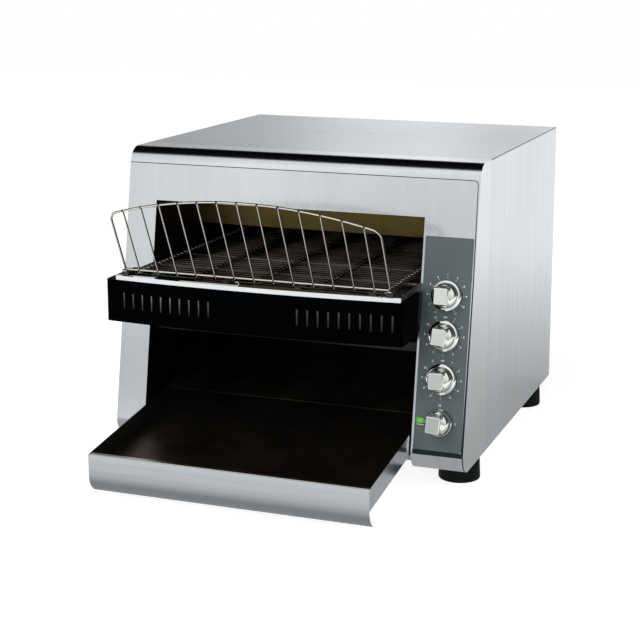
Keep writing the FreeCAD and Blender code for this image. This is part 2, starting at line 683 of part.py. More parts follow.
def outer_casing():
    """One sheet folded over the top and down both sides, behind the seam."""
    seam = "seam_setback + fit_gap"
    sheet = block("CasingSheet", ("-half_width", "half_width"), (seam, "case_depth"), ("0", "case_height"))
    hollow = block("CasingHollow", ("-hollow_half", "hollow_half"),
                   ("seam_setback", "case_depth + cut_overrun"), ("-cut_overrun", "hollow_high"))
    shell = cut("CasingShell", sheet, [hollow])
    flange = block("CasingFlange", ("-pan_half", "pan_half"), ("pan_back - steel_gauge", "pan_back"),
                   ("hollow_high - casing_flange", "hollow_high"))
    folded = fuse("CasingFolded", [shell, flange])
    return seat(cut("OuterCasing", folded, screw_holes("CasingHole")), "outer_casing")


def screw_holes(name):
    """Clearance holes for the screws of the back panel."""
    return [rod("%s%d%d" % (name, row, column), (across, "pan_back - screw_length", up), "Y",
                "screw_radius + fit_gap / 2", "2 * screw_length")
            for row, up in enumerate(SCREW_ROWS) for column, across in enumerate(SCREW_COLUMNS)]


def base_pan():
    """The floor of the cabinet, with an upstand all round."""
    sheet = block("PanSheet", ("-pan_half", "pan_half"), ("pan_front", "pan_back"), ("0", "pan_height"))
    hollow = block("PanHollow", ("-pan_half + steel_gauge", "pan_half - steel_gauge"),
                   ("pan_front + steel_gauge", "pan_back - steel_gauge"),
                   ("steel_gauge", "pan_height + cut_overrun"))
    bolts = [rod("PanHoleFor_" + name, (across, back, "-cut_overrun"), "Z", "bolt_radius + fit_gap / 2",
                 "2 * cut_overrun") for name, across, back in FEET]
    return seat(cut("BasePan", sheet, [hollow] + bolts + screw_holes("PanScrewHole")), "base_pan")


def back_panel():
    """The closing sheet at the back, with slots, the fan's hole and the gland's hole."""
    body = new_body("BackPanelBody")
    sheet = sketch(body, "panel_sheet", "XZ_Plane")
    outline(sheet, [("-pan_half", "fit_gap"), ("pan_half", "fit_gap"),
                    ("pan_half", "back_high"), ("-pan_half", "back_high")])
    pad(body, sheet, "steel_gauge")
    slot = sketch(body, "panel_slot", "XZ_Plane")
    outline(slot, [("-vent_outer", "vent_low"), ("-vent_inner", "vent_low"),
                   ("-vent_inner", "vent_high"), ("-vent_outer", "vent_high")])
    first = pocket(body, slot, "4 * steel_gauge", both_ways=True)
    pattern_line(body, [first], slot, "V_Axis", "(vent_rows - 1) * vent_pitch", "vent_rows")
    second_slot = sketch(body, "panel_second_slot", "XZ_Plane")
    outline(second_slot, [("vent_inner", "vent_low"), ("vent_outer", "vent_low"),
                          ("vent_outer", "vent_high"), ("vent_inner", "vent_high")])
    second = pocket(body, second_slot, "4 * steel_gauge", both_ways=True)
    pattern_line(body, [second], second_slot, "V_Axis", "(vent_rows - 1) * vent_pitch", "vent_rows")
    bind_base(body, "0", "case_depth", "0")
    fan = rod("PanelFanHole", ("fan_offset", "pan_back", "fan_height"), "Y", "fan_bore", "2 * cut_overrun")
    gland = rod("PanelGlandHole", ("gland_offset", "pan_back", "gland_height"), "Y", "gland_body + fit_gap",
                "2 * cut_overrun")
    return seat(cut("BackPanel", body, [fan, gland] + screw_holes("PanelHole")), "back_panel")


def heater_places():
    """Back and height of every heating rod."""
    upper = [("heater_first + %d * heater_spacing" % index, "upper_heater_height")
             for index in range(int(number("upper_heater_count")))]
    lower = [("lower_heater_first + %d * heater_spacing" % index, "shaft_height")
             for index in range(int(number("lower_heater_count")))]
    return upper, lower


def wall_holes(name, x, lower_only=False):
    """Holes for the heating rods, starting at one place along X."""
    upper, lower = heater_places()
    places_to_drill = lower if lower_only else upper + lower
    return [rod("%s%d" % (name, index), (x, back, up), "X", "heater_radius + fit_gap", "4 * cut_overrun")
            for index, (back, up) in enumerate(places_to_drill)]


def chamber_wall(node, x, runner_x, with_shaft):
    """A side wall of the chamber, its front edge parallel to the face, with a crumb tray runner."""
    sheet = block(node + "_sheet", x, ("0", "wall_end"), ("wall_low", "wall_top"))
    trimmed = common(node + "_trimmed", sheet, behind_face(node + "_trim", "steel_gauge + fit_gap"))
    runner = block(node + "_runner", runner_x, ("runner_front", "runner_back"),
                   ("crumb_low - fit_gap - steel_gauge", "crumb_low - fit_gap"))
    wall = fuse(node + "_joined", [trimmed, runner])
    holes = wall_holes(node + "_hole", "(%s) - 2 * cut_overrun" % x[0])
    holes.append(block(node + "_notch", ("(%s) - cut_overrun" % x[0], "(%s) + cut_overrun" % x[1]),
                       ("-cut_overrun", "pan_front + steel_gauge + fit_gap"),
                       ("-cut_overrun", "pan_height + bend_radius / 2")))
    if with_shaft:
        start = ("(%s) - cut_overrun" % x[0], "drive_shaft_back", "shaft_height")
        holes.append(rod(node + "_shaft_hole", start, "X", "shaft_radius + steel_gauge",
                         "2 * cut_overrun + steel_gauge"))
    return seat(cut(node + "_wall", wall, holes), node)


def chamber_walls():
    chamber_wall("inner_side_left", ("left_wall - steel_gauge", "left_wall"),
                 ("left_wall - steel_gauge", "left_wall + runner_width"), False)
    chamber_wall("inner_side_right", ("right_wall", "right_wall + steel_gauge"),
                 ("right_wall - runner_width", "right_wall + steel_gauge"), True)


def chamber_ceiling():
    sheet = block("CeilingSheet", ("left_wall - steel_gauge - ceiling_overhang",
                                   "right_wall + steel_gauge + ceiling_overhang"),
                  ("ceiling_front", "wall_end"), ("ceiling_low", "ceiling_low + steel_gauge"))
    return seat(group("Ceiling", [sheet]), "chamber_ceiling")


def front_baffle():
    """The plate that hangs over the feed mouth and keeps the heat in."""
    x = ("left_wall + fit_gap", "right_wall - fit_gap")
    hung = "ceiling_low - fit_gap"
    plate = block("BafflePlate", x, ("baffle_setback", "baffle_setback + steel_gauge"), ("baffle_low", hung))
    flange = block("BaffleFlange", x, ("baffle_setback", "baffle_setback + baffle_flange"),
                   (hung + " - steel_gauge", hung))
    lip = block("BaffleLip", x, ("baffle_setback", "baffle_setback + baffle_flange / 2"),
                ("baffle_low", "baffle_low + steel_gauge"))
    return seat(fuse("Baffle", [plate, flange, lip]), "front_baffle")


def heaters():
    """Heating rods above and inside the belt, with their ceramic end caps."""
    upper, lower = heater_places()
    start = "left_wall - steel_gauge - heater_reach"
    length = "right_wall - left_wall + 2 * steel_gauge + 2 * heater_reach"
    for node, rows in (("upper_heaters", upper), ("lower_heaters", lower)):
        rods = [rod("%s_%d" % (node, index), (start, back, up), "X", "heater_radius", length)
                for index, (back, up) in enumerate(rows)]
        seat(group(node + "_rods", rods), node)
    caps = []
    for index, (back, up) in enumerate(upper + lower):
        for side, cap_start in (("left", "left_wall - steel_gauge - cap_length - fit_gap"),
                                ("right", "right_wall + steel_gauge + fit_gap")):
            cap = rod("Cap%d%s" % (index, side), (cap_start, back, up), "X", "cap_radius", "cap_length")
            inner_end = " + cap_length - heater_reach" if side == "left" else " - cut_overrun"
            well = rod("CapWell%d%s" % (index, side), (cap_start + inner_end, back, up), "X",
                       "heater_radius + running_gap", "heater_reach + cut_overrun")
            caps.append(cut("CapShell%d%s" % (index, side), cap, [well]))
    seat(group("EndCaps", caps), "heater_end_caps")


def rails():
    """The two side rails of the conveyor, drilled for the bushes, the heaters and the cross rods."""
    for node, x in (("rail_left", ("left_rail - rail_gauge", "left_rail")),
                    ("rail_right", ("right_rail", "right_rail + rail_gauge"))):
        top = "belt_top - rail_drop"
        plate = block(node + "_plate", x, ("-rail_reach", "rail_end"), (top + " - rail_depth", top))
        start = "(%s) - cut_overrun" % x[0]
        holes = wall_holes(node + "_hole", start, lower_only=True)
        for index, back in enumerate(SHAFT_BACKS):
            holes.append(rod("%s_bush_hole%d" % (node, index), (start, back, "shaft_height"), "X",
                             "bush_radius + running_gap", "3 * cut_overrun"))
        seat(cut(node + "_rail", plate, holes), node)


def belt_supports():
    """Rods from rail to rail that carry the belt's top run."""
    rods = []
    for index in range(int(number("support_count"))):
        start = ("left_rail + fit_gap", "support_first + %d * support_spacing" % index, "support_height")
        rods.append(rod("Support%d" % index, start, "X", "support_radius",
                        "right_rail - left_rail - 2 * fit_gap"))
    return seat(group("Supports", rods), "belt_supports")


def shaft_bushes():
    """A flanged bush in each rail for each shaft."""
    bushes = []
    sides = [("left", "left_rail - rail_gauge", "left_rail + fit_gap"),
             ("right", "right_rail + rail_gauge - bush_length",
              "right_rail - fit_gap - bush_flange_gauge")]
    for index, back in enumerate(SHAFT_BACKS):
        for side, start, flange_start in sides:
            name = "Bush%d%s" % (index, side)
            sleeve = rod(name + "Sleeve", (start, back, "shaft_height"), "X", "bush_radius", "bush_length")
            flange = rod(name + "Flange", (flange_start, back, "shaft_height"), "X", "bush_flange_radius",
                         "bush_flange_gauge")
            bore = rod(name + "Bore", (start + " - cut_overrun", back, "shaft_height"), "X",
                       "shaft_radius + running_gap", "bush_length + 2 * cut_overrun")
            bushes.append(cut(name, fuse(name + "Solid", [sleeve, flange]), [bore]))
    return seat(group("Bushes", bushes), "shaft_bushes")


def belt_wheels(node, back):
    """Toothed wheels that turn the belt, side by side on one shaft."""
    body = new_body(node + "_wheel")
    disc = sketch(body, node + "_disc", "YZ_Plane")
    circle(disc, "wheel_radius")
    pad(body, disc, "wheel_width", both_ways=True)
    notch = sketch(body, node + "_notch", "YZ_Plane")
    circle(notch, "wheel_tooth_depth", "wheel_radius", "0")
    first = pocket(body, notch, "2 * wheel_width", both_ways=True)
    pattern_round(body, [first], notch, "wheel_teeth")
    bore = sketch(body, node + "_bore", "YZ_Plane")
    circle(bore, "wheel_bore")
    pocket(body, bore, "2 * wheel_width", both_ways=True)
    wheels = []
    count = int(number("wheels_per_shaft"))
    for index in range(count):
        copy = doc.addObject("Part::Compound", "%s_at%d" % (node, index))
        copy.Links = [body]
        step = "(belt_width - 2 * wheel_margin) * %d / (wheels_per_shaft - 1)" % index
        bind_base(copy, "belt_left + wheel_margin + " + step, back, "shaft_height")
        wheels.append(copy)
    return seat(group(node + "_set", wheels), node)


def shafts():
    """The idler shaft at the front and the driven shaft at the back."""
    front = rod("FrontShaft", ("left_rail - rail_gauge", "front_shaft_back", "shaft_height"), "X",
                "shaft_radius", "right_rail - left_rail + 2 * rail_gauge")
    seat(group("FrontShaftPiece", [front]), "front_shaft")
    drive = rod("DriveShaft", ("left_rail - rail_gauge", "drive_shaft_back", "shaft_height"), "X",
                "shaft_radius", "chain_offset + shaft_tail - left_rail + rail_gauge")
    seat(group("DriveShaftPiece", [drive]), "drive_shaft")
    belt_wheels("front_belt_wheels", "front_shaft_back")
    belt_wheels("drive_belt_wheels", "drive_shaft_back")


def loop_solid(name, x, radius):
    """A closed loop's outer shape: a block with a round end over each shaft."""
    length = "(%s) - (%s)" % (x[1], x[0])
    middle = block(name + "Middle", x, SHAFT_BACKS,
                   ("shaft_height - (%s)" % radius, "shaft_height + (%s)" % radius))
    ends = [rod("%sEnd%d" % (name, index), (x[0], back, "shaft_height"), "X", radius, length)
            for index, back in enumerate(SHAFT_BACKS)]
    return fuse(name, [middle] + ends)


def conveyor_belt():
    """The wire belt as one closed loop, open between its cross wires."""
    outer = loop_solid("BeltOuter", ("belt_left", "belt_right"), "belt_turn_radius")
    inner = loop_solid("BeltInner", ("belt_left - cut_overrun", "belt_right + cut_overrun"), "belt_hollow")
    gaps = []
    strands = int(number("belt_strands"))
    run = number("drive_shaft_back") - number("front_shaft_back")
    rows = int(run // number("belt_pitch"))
    cell = "(belt_width - belt_border) / belt_strands"
    for column in range(strands):
        left = "belt_left + belt_border + %d * %s" % (column, cell)
        for row in range(rows):
            low = "front_shaft_back + %d * belt_pitch" % row
            gaps.append(block("BeltGap%d_%d" % (column, row), (left, left + " + %s - belt_border" % cell),
                              (low, low + " + belt_gap"),
                              ("shaft_height - 2 * belt_turn_radius", "shaft_height + 2 * belt_turn_radius")))
    hollow = doc.addObject("Part::Cut", "BeltLoop")
    hollow.Base = outer
    hollow.Tool = inner
    net = doc.addObject("Part::Cut", "BeltNet")
    net.Base = hollow
    net.Tool = group("BeltGaps", gaps)
    return seat(net, "conveyor_belt")


def bowed(name, x, z, inset="0", back="case_depth"):
    """A block whose front bows out like the cover, set in from it."""
    solid = block(name + "Block", x, ("-case_depth", back), z)
    round_front = rod(name + "Bow", ("cover_middle", "bow_back", z[0]), "Z", "bow_radius - (%s)" % inset,
                      "(%s) - (%s)" % (z[1], z[0]))
    return common(name, solid, round_front)


def round_corners(name, solid, radius):
    """Round the two upright front corners of a bowed block."""
    doc.recompute()
    rounded = doc.addObject("Part::Fillet", name)
    rounded.Base = solid
    upright = edges_where(solid.Shape, lambda middle, along: abs(along.z) > radius and middle.y < 0)
    rounded.Edges = [(int(edge[4:]), radius, radius) for edge in upright]
    return rounded


def cover_slots():
    """Two groups of slots, one each side of the belt's middle."""
    slots = []
    for side, sign in (("Left", "-"), ("Right", "+")):
        for index in range(int(number("slot_count"))):
            middle = "conveyor_offset %s (slot_inner + %d * slot_pitch)" % (sign, index)
            slots.append(block("CoverSlot%s%d" % (side, index),
                               (middle + " - slot_width / 2", middle + " + slot_width / 2"),
                               ("-cover_reach - 2 * cover_bow", "-cover_reach + cut_overrun"),
                               ("slot_low", "slot_high")))
    return slots


def conveyor_cover():
    """The black front cover: a bowed sheet with two wings, a shelf at its left and slots."""
    outside = bowed("CoverSolid", ("-cover_left", "cover_right"), ("cover_low", "cover_high"),
                    back="fascia_lip")
    inside = bowed("CoverHollow", ("-cover_left + cover_gauge", "cover_right - cover_gauge"),
                   ("cover_low - cut_overrun", "cover_high + cut_overrun"), inset="cover_gauge",
                   back="case_depth / 2")
    rounded = round_corners("CoverRounded", outside, number("cover_corner"))
    hollow = round_corners("CoverHollowRounded", inside, number("cover_corner") - number("cover_gauge"))
    corner = block("CoverShelfBlock", ("-cover_left", "-cover_left + cover_shelf"),
                   ("-case_depth", "fascia_lip"), ("cover_high - cover_gauge", "cover_high"))
    shelf = common("CoverShelf", rounded, corner)
    trims = [behind_face("CoverTrim", "-fit_gap"),
             behind_face("CoverRightTrim", "-cover_right_setback",
                         ("cover_right - cut_overrun", "case_width"))]
    joined = fuse("CoverJoined", [cut("CoverShell", rounded, [hollow]), shelf])
    trimmed = cut("ConveyorCover", joined, cover_slots() + [fuse("CoverTrims", trims)])
    return seat(trimmed, "conveyor_cover")


def nose_strip():
    """The bright strip on top of the cover."""
    strip = bowed("NoseStrip", ("-strip_left", "strip_right"), ("strip_low", "strip_high"),
                  back="-strip_back")
    return seat(strip, "nose_strip")


def leg_places():
    return ["guard_offset - guard_half_width", "guard_offset + guard_half_width"]


def guard_sockets():
    """Two blocks on the strip, each bored on the slant for a leg of the guard."""
    sockets = []
    for index, across in enumerate(leg_places()):
        solid = block("Socket%d" % index,
                      (across + " - socket_width / 2", across + " + socket_width / 2"),
                      ("-guard_reach - guard_wire", "-strip_back"),
                      ("socket_low", "socket_low + socket_height"))
        bore = rod("SocketBore%d" % index, (across, "0", "0"), "Z", "guard_wire + running_gap",
                   "4 * leg_depth")
        tilt(bore, "guard_lean")
        bind_base(bore, across, "-guard_reach + 2 * leg_depth * sin(guard_lean)",
                  "guard_low - 2 * leg_depth * cos(guard_lean)")
        sockets.append(cut("SocketShell%d" % index, solid, [bore]))
    return seat(group("Sockets", sockets), "guard_sockets")


def wire_guard():
    """The leaning wire guard: a frame wire with an arched top, a lower wire and upright bars."""
    half = number("guard_half_width")
    rise = number("guard_rise")
    arch = number("guard_arch")
    corner = number("guard_corner")
    arch_radius = (half ** 2 + arch ** 2) / (2 * arch)
    arch_low = rise - arch_radius
    corner_up = arch_low + math.sqrt((arch_radius - corner) ** 2 - (half - corner) ** 2)
    turn = math.atan2(half - corner, corner_up - arch_low)

    def point(across, up):
        return FreeCAD.Vector(across, 0, up)

    def corner_point(side, angle):
        return point(side * (half - corner + corner * math.sin(angle)), corner_up + corner * math.cos(angle))

    bend = (math.pi / 2 + turn) / 2
    foot = -number("leg_depth")
    path = Part.Wire([
        Part.LineSegment(point(-half, foot), point(-half, corner_up)).toShape(),
        Part.Arc(point(-half, corner_up), corner_point(-1, bend), corner_point(-1, turn)).toShape(),
        Part.Arc(corner_point(-1, turn), point(0, rise), corner_point(1, turn)).toShape(),
        Part.Arc(corner_point(1, turn), corner_point(1, bend), point(half, corner_up)).toShape(),
        Part.LineSegment(point(half, corner_up), point(half, foot)).toShape(),
    ])
    upward = FreeCAD.Vector(0, 0, 1)
    section = Part.Wire(Part.makeCircle(number("guard_wire"), point(-half, foot), upward))
    frame = path.makePipeShell([section], True, False)
    lower = Part.makeCylinder(number("guard_wire"), 2 * half, point(-half, 0), FreeCAD.Vector(1, 0, 0))
    bars = []
    count = int(number("guard_bars"))
    stub = number("guard_stub")
    for index in range(count):
        across = (index - (count - 1) / 2) * number("guard_pitch")
        top = arch_low + math.sqrt(arch_radius ** 2 - across ** 2)
        bars.append(Part.makeCylinder(number("guard_bar"), top + stub, point(across, -stub), upward))
    piece = doc.addObject("Part::Feature", "WireGuard")
    piece.Shape = frame.fuse([lower] + bars)
    return seat(piece, "wire_guard", "guard_offset", "-guard_reach", "guard_low", lean="guard_lean")


def arc_sheet(name, x, back, up, radius, sweep, start, turn):
    """A sheet bent round an X axis, from the direction start towards the direction turn."""
    discs = []
    for index, size in enumerate((radius, "%s - steel_gauge" % radius)):
        disc = rod("%sDisc%d" % (name, index), (x[0], back, up), "X", size, "(%s) - (%s)" % (x[1], x[0]))
        disc.Placement = FreeCAD.Placement(disc.Placement.Base, FreeCAD.Rotation(
            FreeCAD.Vector(*start), FreeCAD.Vector(*turn), FreeCAD.Vector(1, 0, 0), "XYZ"))
        disc.setExpression("Angle", formula(sweep))
        discs.append(disc)
    return cut(name, discs[0], [discs[1]])


def sloped_block(name, x, along, above):
    """A block along the tray's slope, measured from the tray's lower front corner."""
    solid = block(name, x, along, above)
    low, high = "(%s)" % along[0], "(%s)" % above[0]
    tilt(solid, "tray_slope")
    bind_base(solid, x[0], "%s * cos(tray_slope) - %s * sin(tray_slope) - tray_reach" % (low, high),
              "%s * sin(tray_slope) + %s * cos(tray_slope) + tray_low" % (low, high))
    return solid


def output_tray():
    """The toast tray: a sloping floor, two walls, and an upright front with a curved skirt below."""
    x = ("tray_middle - tray_half", "tray_middle + tray_half")
    inner_x = (x[0] + " + steel_gauge", x[1] + " - steel_gauge")
    deep = ("-case_height", "case_height")
    slab = sloped_block("TraySlab", x, ("-tray_wall", "tray_length"), ("0", "tray_wall"))
    solid = common("TraySolid", slab, block("TrayFrontTrim", x, ("-tray_reach", "case_depth"), deep))
    room = sloped_block("TrayRoom", inner_x, ("-tray_wall", "tray_length + cut_overrun"),
                        ("steel_gauge", "tray_wall + cut_overrun"))
    hollow = common("TrayHollow", room,
                    block("TrayRoomTrim", inner_x, ("-tray_reach + steel_gauge", "case_depth"), deep))
    skirt = arc_sheet("TraySkirt", x, "apron_radius - tray_reach", "tray_low", "apron_radius",
                      "apron_sweep", (0, -1, 0), (0, 0, -1))
    joint = block("TrayJoint", x, ("-tray_reach", "-tray_reach + steel_gauge"),
                  ("tray_low", "tray_low + steel_gauge"))
    return seat(fuse("OutputTray", [cut("TrayPan", solid, [hollow]), skirt, joint]), "output_tray")


def tray_supports():
    """Two bars across the chamber that the tray lies on."""
    bars = [rod("TrayBar%d" % index, ("left_wall + fit_gap", back, "-fit_gap - tray_bar_radius"), "X",
                "tray_bar_radius", "right_wall - left_wall - 2 * fit_gap")
            for index, back in enumerate(("tray_bar_back", "tray_bar_back + tray_bar_pitch"))]
    return seat_on_tray(group("TrayBars", bars), "tray_supports")


def return_slide():
    """The sloping slide that brings the toast back under the belt to the tray."""
    x = ("left_wall + fit_gap", "right_wall - fit_gap")
    y = ("slide_start", "slide_start + slide_length")
    solid = block("SlideSolid", x, y, ("fit_gap", "runner_width"))
    hollow = block("SlideHollow", (x[0] + " + steel_gauge", x[1] + " - steel_gauge"),
                   (y[0] + " - cut_overrun", y[1] + " + cut_overrun"),
                   ("fit_gap + steel_gauge", "runner_width + cut_overrun"))
    return seat_on_tray(cut("ReturnSlide", solid, [hollow]), "return_slide")


def rear_chute():
    """The upright sheet behind the belt, curved forward at its foot to turn the toast round."""
    x = ("left_wall + 2 * fit_gap + steel_gauge", "right_wall - 2 * fit_gap - steel_gauge")
    low = "chute_centre_high - chute_radius"
    curve = arc_sheet("ChuteCurve", x, "chute_centre_back", "chute_centre_high", "chute_radius", "90",
                      (0, 0, -1), (0, 1, 0))
    upright = block("ChuteUpright", x, ("chute_back - steel_gauge", "chute_back"),
                    ("chute_centre_high", "chute_high"))
    lip = block("ChuteLip", x, ("slide_end_back - cut_overrun", "chute_centre_back"),
                (low, low + " + steel_gauge"))
    return seat(fuse("RearChute", [curve, upright, lip]), "rear_chute")


def crumb_tray():
    """The shallow tray under the belt."""
    x = ("opening_left + tray_gap", "opening_right - tray_gap")
    y = ("crumb_front", "crumb_back")
    solid = block("CrumbSolid", x, y, ("crumb_low", "crumb_low + crumb_height"))
    hollow = block("CrumbHollow", (x[0] + " + steel_gauge", x[1] + " - steel_gauge"),
                   (y[0] + " + steel_gauge", y[1] + " - steel_gauge"),
                   ("crumb_low + steel_gauge", "crumb_low + crumb_height + cut_overrun"))
    return seat(cut("CrumbTray", solid, [hollow]), "crumb_tray")


def control_panel():
    """The printed panel glued to the face, with holes for the controls and the lamp."""
    body = new_body("ControlPanelBody")
    sheet = sketch(body, "control_sheet", "XZ_Plane")
    outline(sheet, [("panel_left", "panel_low"), ("panel_right", "panel_low"),
                    ("panel_right", "panel_high"), ("panel_left", "panel_high")])
    solid = pad(body, sheet, "panel_gauge")
    corners = edges_where(solid.Shape, lambda middle, along: abs(along.y) > number("panel_gauge") / 2)
    fillet(body, solid, corners, "panel_corner")
    drills = [rod("PanelHoleFor%d" % index, ("knob_offset", "-cut_overrun", along), "Y",
                  "collar_radius + fit_gap", "2 * cut_overrun") for index, along in enumerate(KNOB_HEIGHTS)]
    drills.append(rod("PanelLampHole", ("lamp_offset", "-cut_overrun", "lamp_height"), "Y",
                      "lamp_stem_radius + fit_gap", "2 * cut_overrun"))
    return seat_on_face(cut("ControlPanel", body, drills), "control_overlay", proud="panel_gap")


def controls():
    """Behind each knob: the control's body and threaded collar, and the spindle that turns in it."""
    for name, node, along, _ in CONTROLS:
        collar = rod(name + "_collar", ("0", "-collar_reach", "0"), "Y", "collar_radius",
                     "collar_reach + control_back")
        if name == "power":
            across = ("-switch_width / 2", "switch_width / 2")
            shell = block(name + "_shell", across, ("control_back", "control_back + control_depth"), across)
        else:
            shell = rod(name + "_shell", ("0", "control_back", "0"), "Y", "control_radius", "control_depth")
        bore = rod(name + "_bore", ("0", "-cut_overrun", "0"), "Y", "spindle_radius + running_gap",
                   "spindle_depth + cut_overrun + fit_gap")
        unit = cut(name + "_unit", fuse(name + "_solid", [shell, collar]), [bore])
        seat_on_face(unit, node, "knob_offset", along)
        front = "panel_front + knob_lift + spindle_inset"
        spindle = rod(name + "_rod", ("0", "-(%s)" % front, "0"), "Y", "spindle_radius",
                      front + " + spindle_depth")
        seat_on_face(group(name + "_spindle_piece", [spindle]), name + "_spindle", "knob_offset", along)


def knobs():
    """Four knobs: a disc, a hub and a tapering grip, bored for the spindle."""
    for name, _, along, radius in CONTROLS:
        body = new_body(name + "_knob_body")
        disc = sketch(body, name + "_disc", "XZ_Plane")
        circle(disc, radius)
        pad(body, disc, "knob_disc")
        hub = sketch(body, name + "_hub", "XZ_Plane")
        circle(hub, "knob_hub_radius")
        pad(body, hub, "knob_hub")
        side = sketch(body, name + "_grip_side", "YZ_Plane")
        outline(side, [("0", "-grip_foot_half"), ("0", "grip_foot_half"),
                       ("-grip_height", "grip_face_half"), ("-grip_height", "-grip_face_half")])
        grip = pad(body, side, "grip_width", both_ways=True)
        top = edges_where(grip.Shape, lambda middle, along: near(middle.y, -number("grip_height")))
        fillet(body, grip, top, "grip_edge")
        bore = sketch(body, name + "_knob_bore", "XZ_Plane")
        circle(bore, "knob_bore")
        pocket(body, bore, "spindle_inset + fit_gap", backwards=True)
        seat_on_face(body, name + "_knob", "knob_offset", along, proud="panel_front + knob_lift")


def indicator_lamp():
    """The green lamp: a pill-shaped lens on a stem through the panel."""
    reach = "(lamp_width / 2 - lamp_radius)"
    lens = [block("LampMiddle", ("-" + reach, reach), ("-lamp_proud", "0"), ("-lamp_radius", "lamp_radius"))]
    for index, side in enumerate(("-", "")):
        lens.append(rod("LampEnd%d" % index, (side + reach, "-lamp_proud", "0"), "Y", "lamp_radius",
                        "lamp_proud"))
    lens.append(rod("LampStem", ("0", "-lamp_proud", "0"), "Y", "lamp_stem_radius",
                    "lamp_proud + lamp_stem"))
    return seat_on_face(fuse("IndicatorLamp", lens), "indicator_lamp", "lamp_offset", "lamp_height",
                        proud="panel_front + panel_gap")


def chain_wheel(name):
    """A toothed chain wheel with a hub, about its own X axis."""
    body = new_body(name)
    disc = sketch(body, name + "_disc", "YZ_Plane")
    circle(disc, "sprocket_radius")
    pad(body, disc, "sprocket_width", both_ways=True)
    notch = sketch(body, name + "_notch", "YZ_Plane")
    circle(notch, "sprocket_tooth_depth", "sprocket_radius", "0")
    first = pocket(body, notch, "2 * sprocket_width", both_ways=True)
    pattern_round(body, [first], notch, "sprocket_teeth")
    hub = sketch(body, name + "_hub", "YZ_Plane")
    circle(hub, "sprocket_hub_radius")
    pad(body, hub, "2 * sprocket_width", both_ways=True)
    return body


def drive_train():
    """The gearmotor on its bracket, and the chain from its sprocket to the drive shaft's."""
    driven = chain_wheel("DrivenWheel")
    bore = rod("DrivenBore", ("-4 * sprocket_width", "0", "0"), "X", "shaft_radius + running_gap",
               "8 * sprocket_width")
    seat(cut("DrivenSprocket", driven, [bore]), "driven_chain_sprocket", "chain_offset", "drive_shaft_back",
         "shaft_height")
    driving = chain_wheel("DrivingWheel")
    output = rod("OutputShaft", ("0", "0", "0"), "X", "output_radius",
                 "gearbox_left - chain_offset + output_inset")
    seat(fuse("MotorSprocket", [driving, output]), "motor_sprocket", "chain_offset", "drive_shaft_back",
         "motor_height")
    loops = []
    for name, radius in (("ChainOuter", "chain_hollow + chain_gauge"), ("ChainInner", "chain_hollow")):
        x = ("chain_offset - chain_width / 2", "chain_offset + chain_width / 2")
        y = ("drive_shaft_back - (%s)" % radius, "drive_shaft_back + " + radius)
        members = [block(name + "Middle", x, y, ("motor_height", "shaft_height"))]
        for up in ("motor_height", "shaft_height"):
            members.append(rod(name + "_" + up, (x[0], "drive_shaft_back", up), "X", radius, "chain_width"))
        loops.append(fuse(name, members))
    seat(cut("DriveChain", loops[0], [loops[1]]), "drive_chain")
    x = ("gearbox_left", "gearbox_left + gearbox_width")
    y = ("gearbox_front", "gearbox_front + gearbox_length")
    z = ("gearbox_low", "gearbox_low + gearbox_height")
    case = block("GearboxCase", x, y, z)
    boss_start = "gearbox_left - boss_length"
    boss = rod("GearboxBoss", (boss_start, "drive_shaft_back", "motor_height"), "X", "boss_radius",
               "boss_length")
    motor = rod("MotorCan",
                ("gearbox_left + gearbox_width / 2", "gearbox_front - motor_length", "motor_height"), "Y",
                "motor_radius", "motor_length")
    well = rod("GearboxWell", (boss_start + " - cut_overrun", "drive_shaft_back", "motor_height"), "X",
               "output_radius + running_gap", "boss_length + output_inset + cut_overrun + fit_gap")
    seat(cut("Gearmotor", fuse("GearmotorSolid", [case, boss, motor]), [well]), "gearmotor")
    top = "gearbox_low - fit_gap"
    outside = block("BracketOutside", x, y, ("wall_low", top))
    inside = block("BracketInside", (x[0] + " - cut_overrun", x[1] + " + cut_overrun"),
                   (y[0] + " + bracket_gauge", y[1] + " - bracket_gauge"),
                   ("wall_low + bracket_gauge", top + " - bracket_gauge"))
    seat(cut("MotorBracket", outside, [inside]), "motor_bracket")


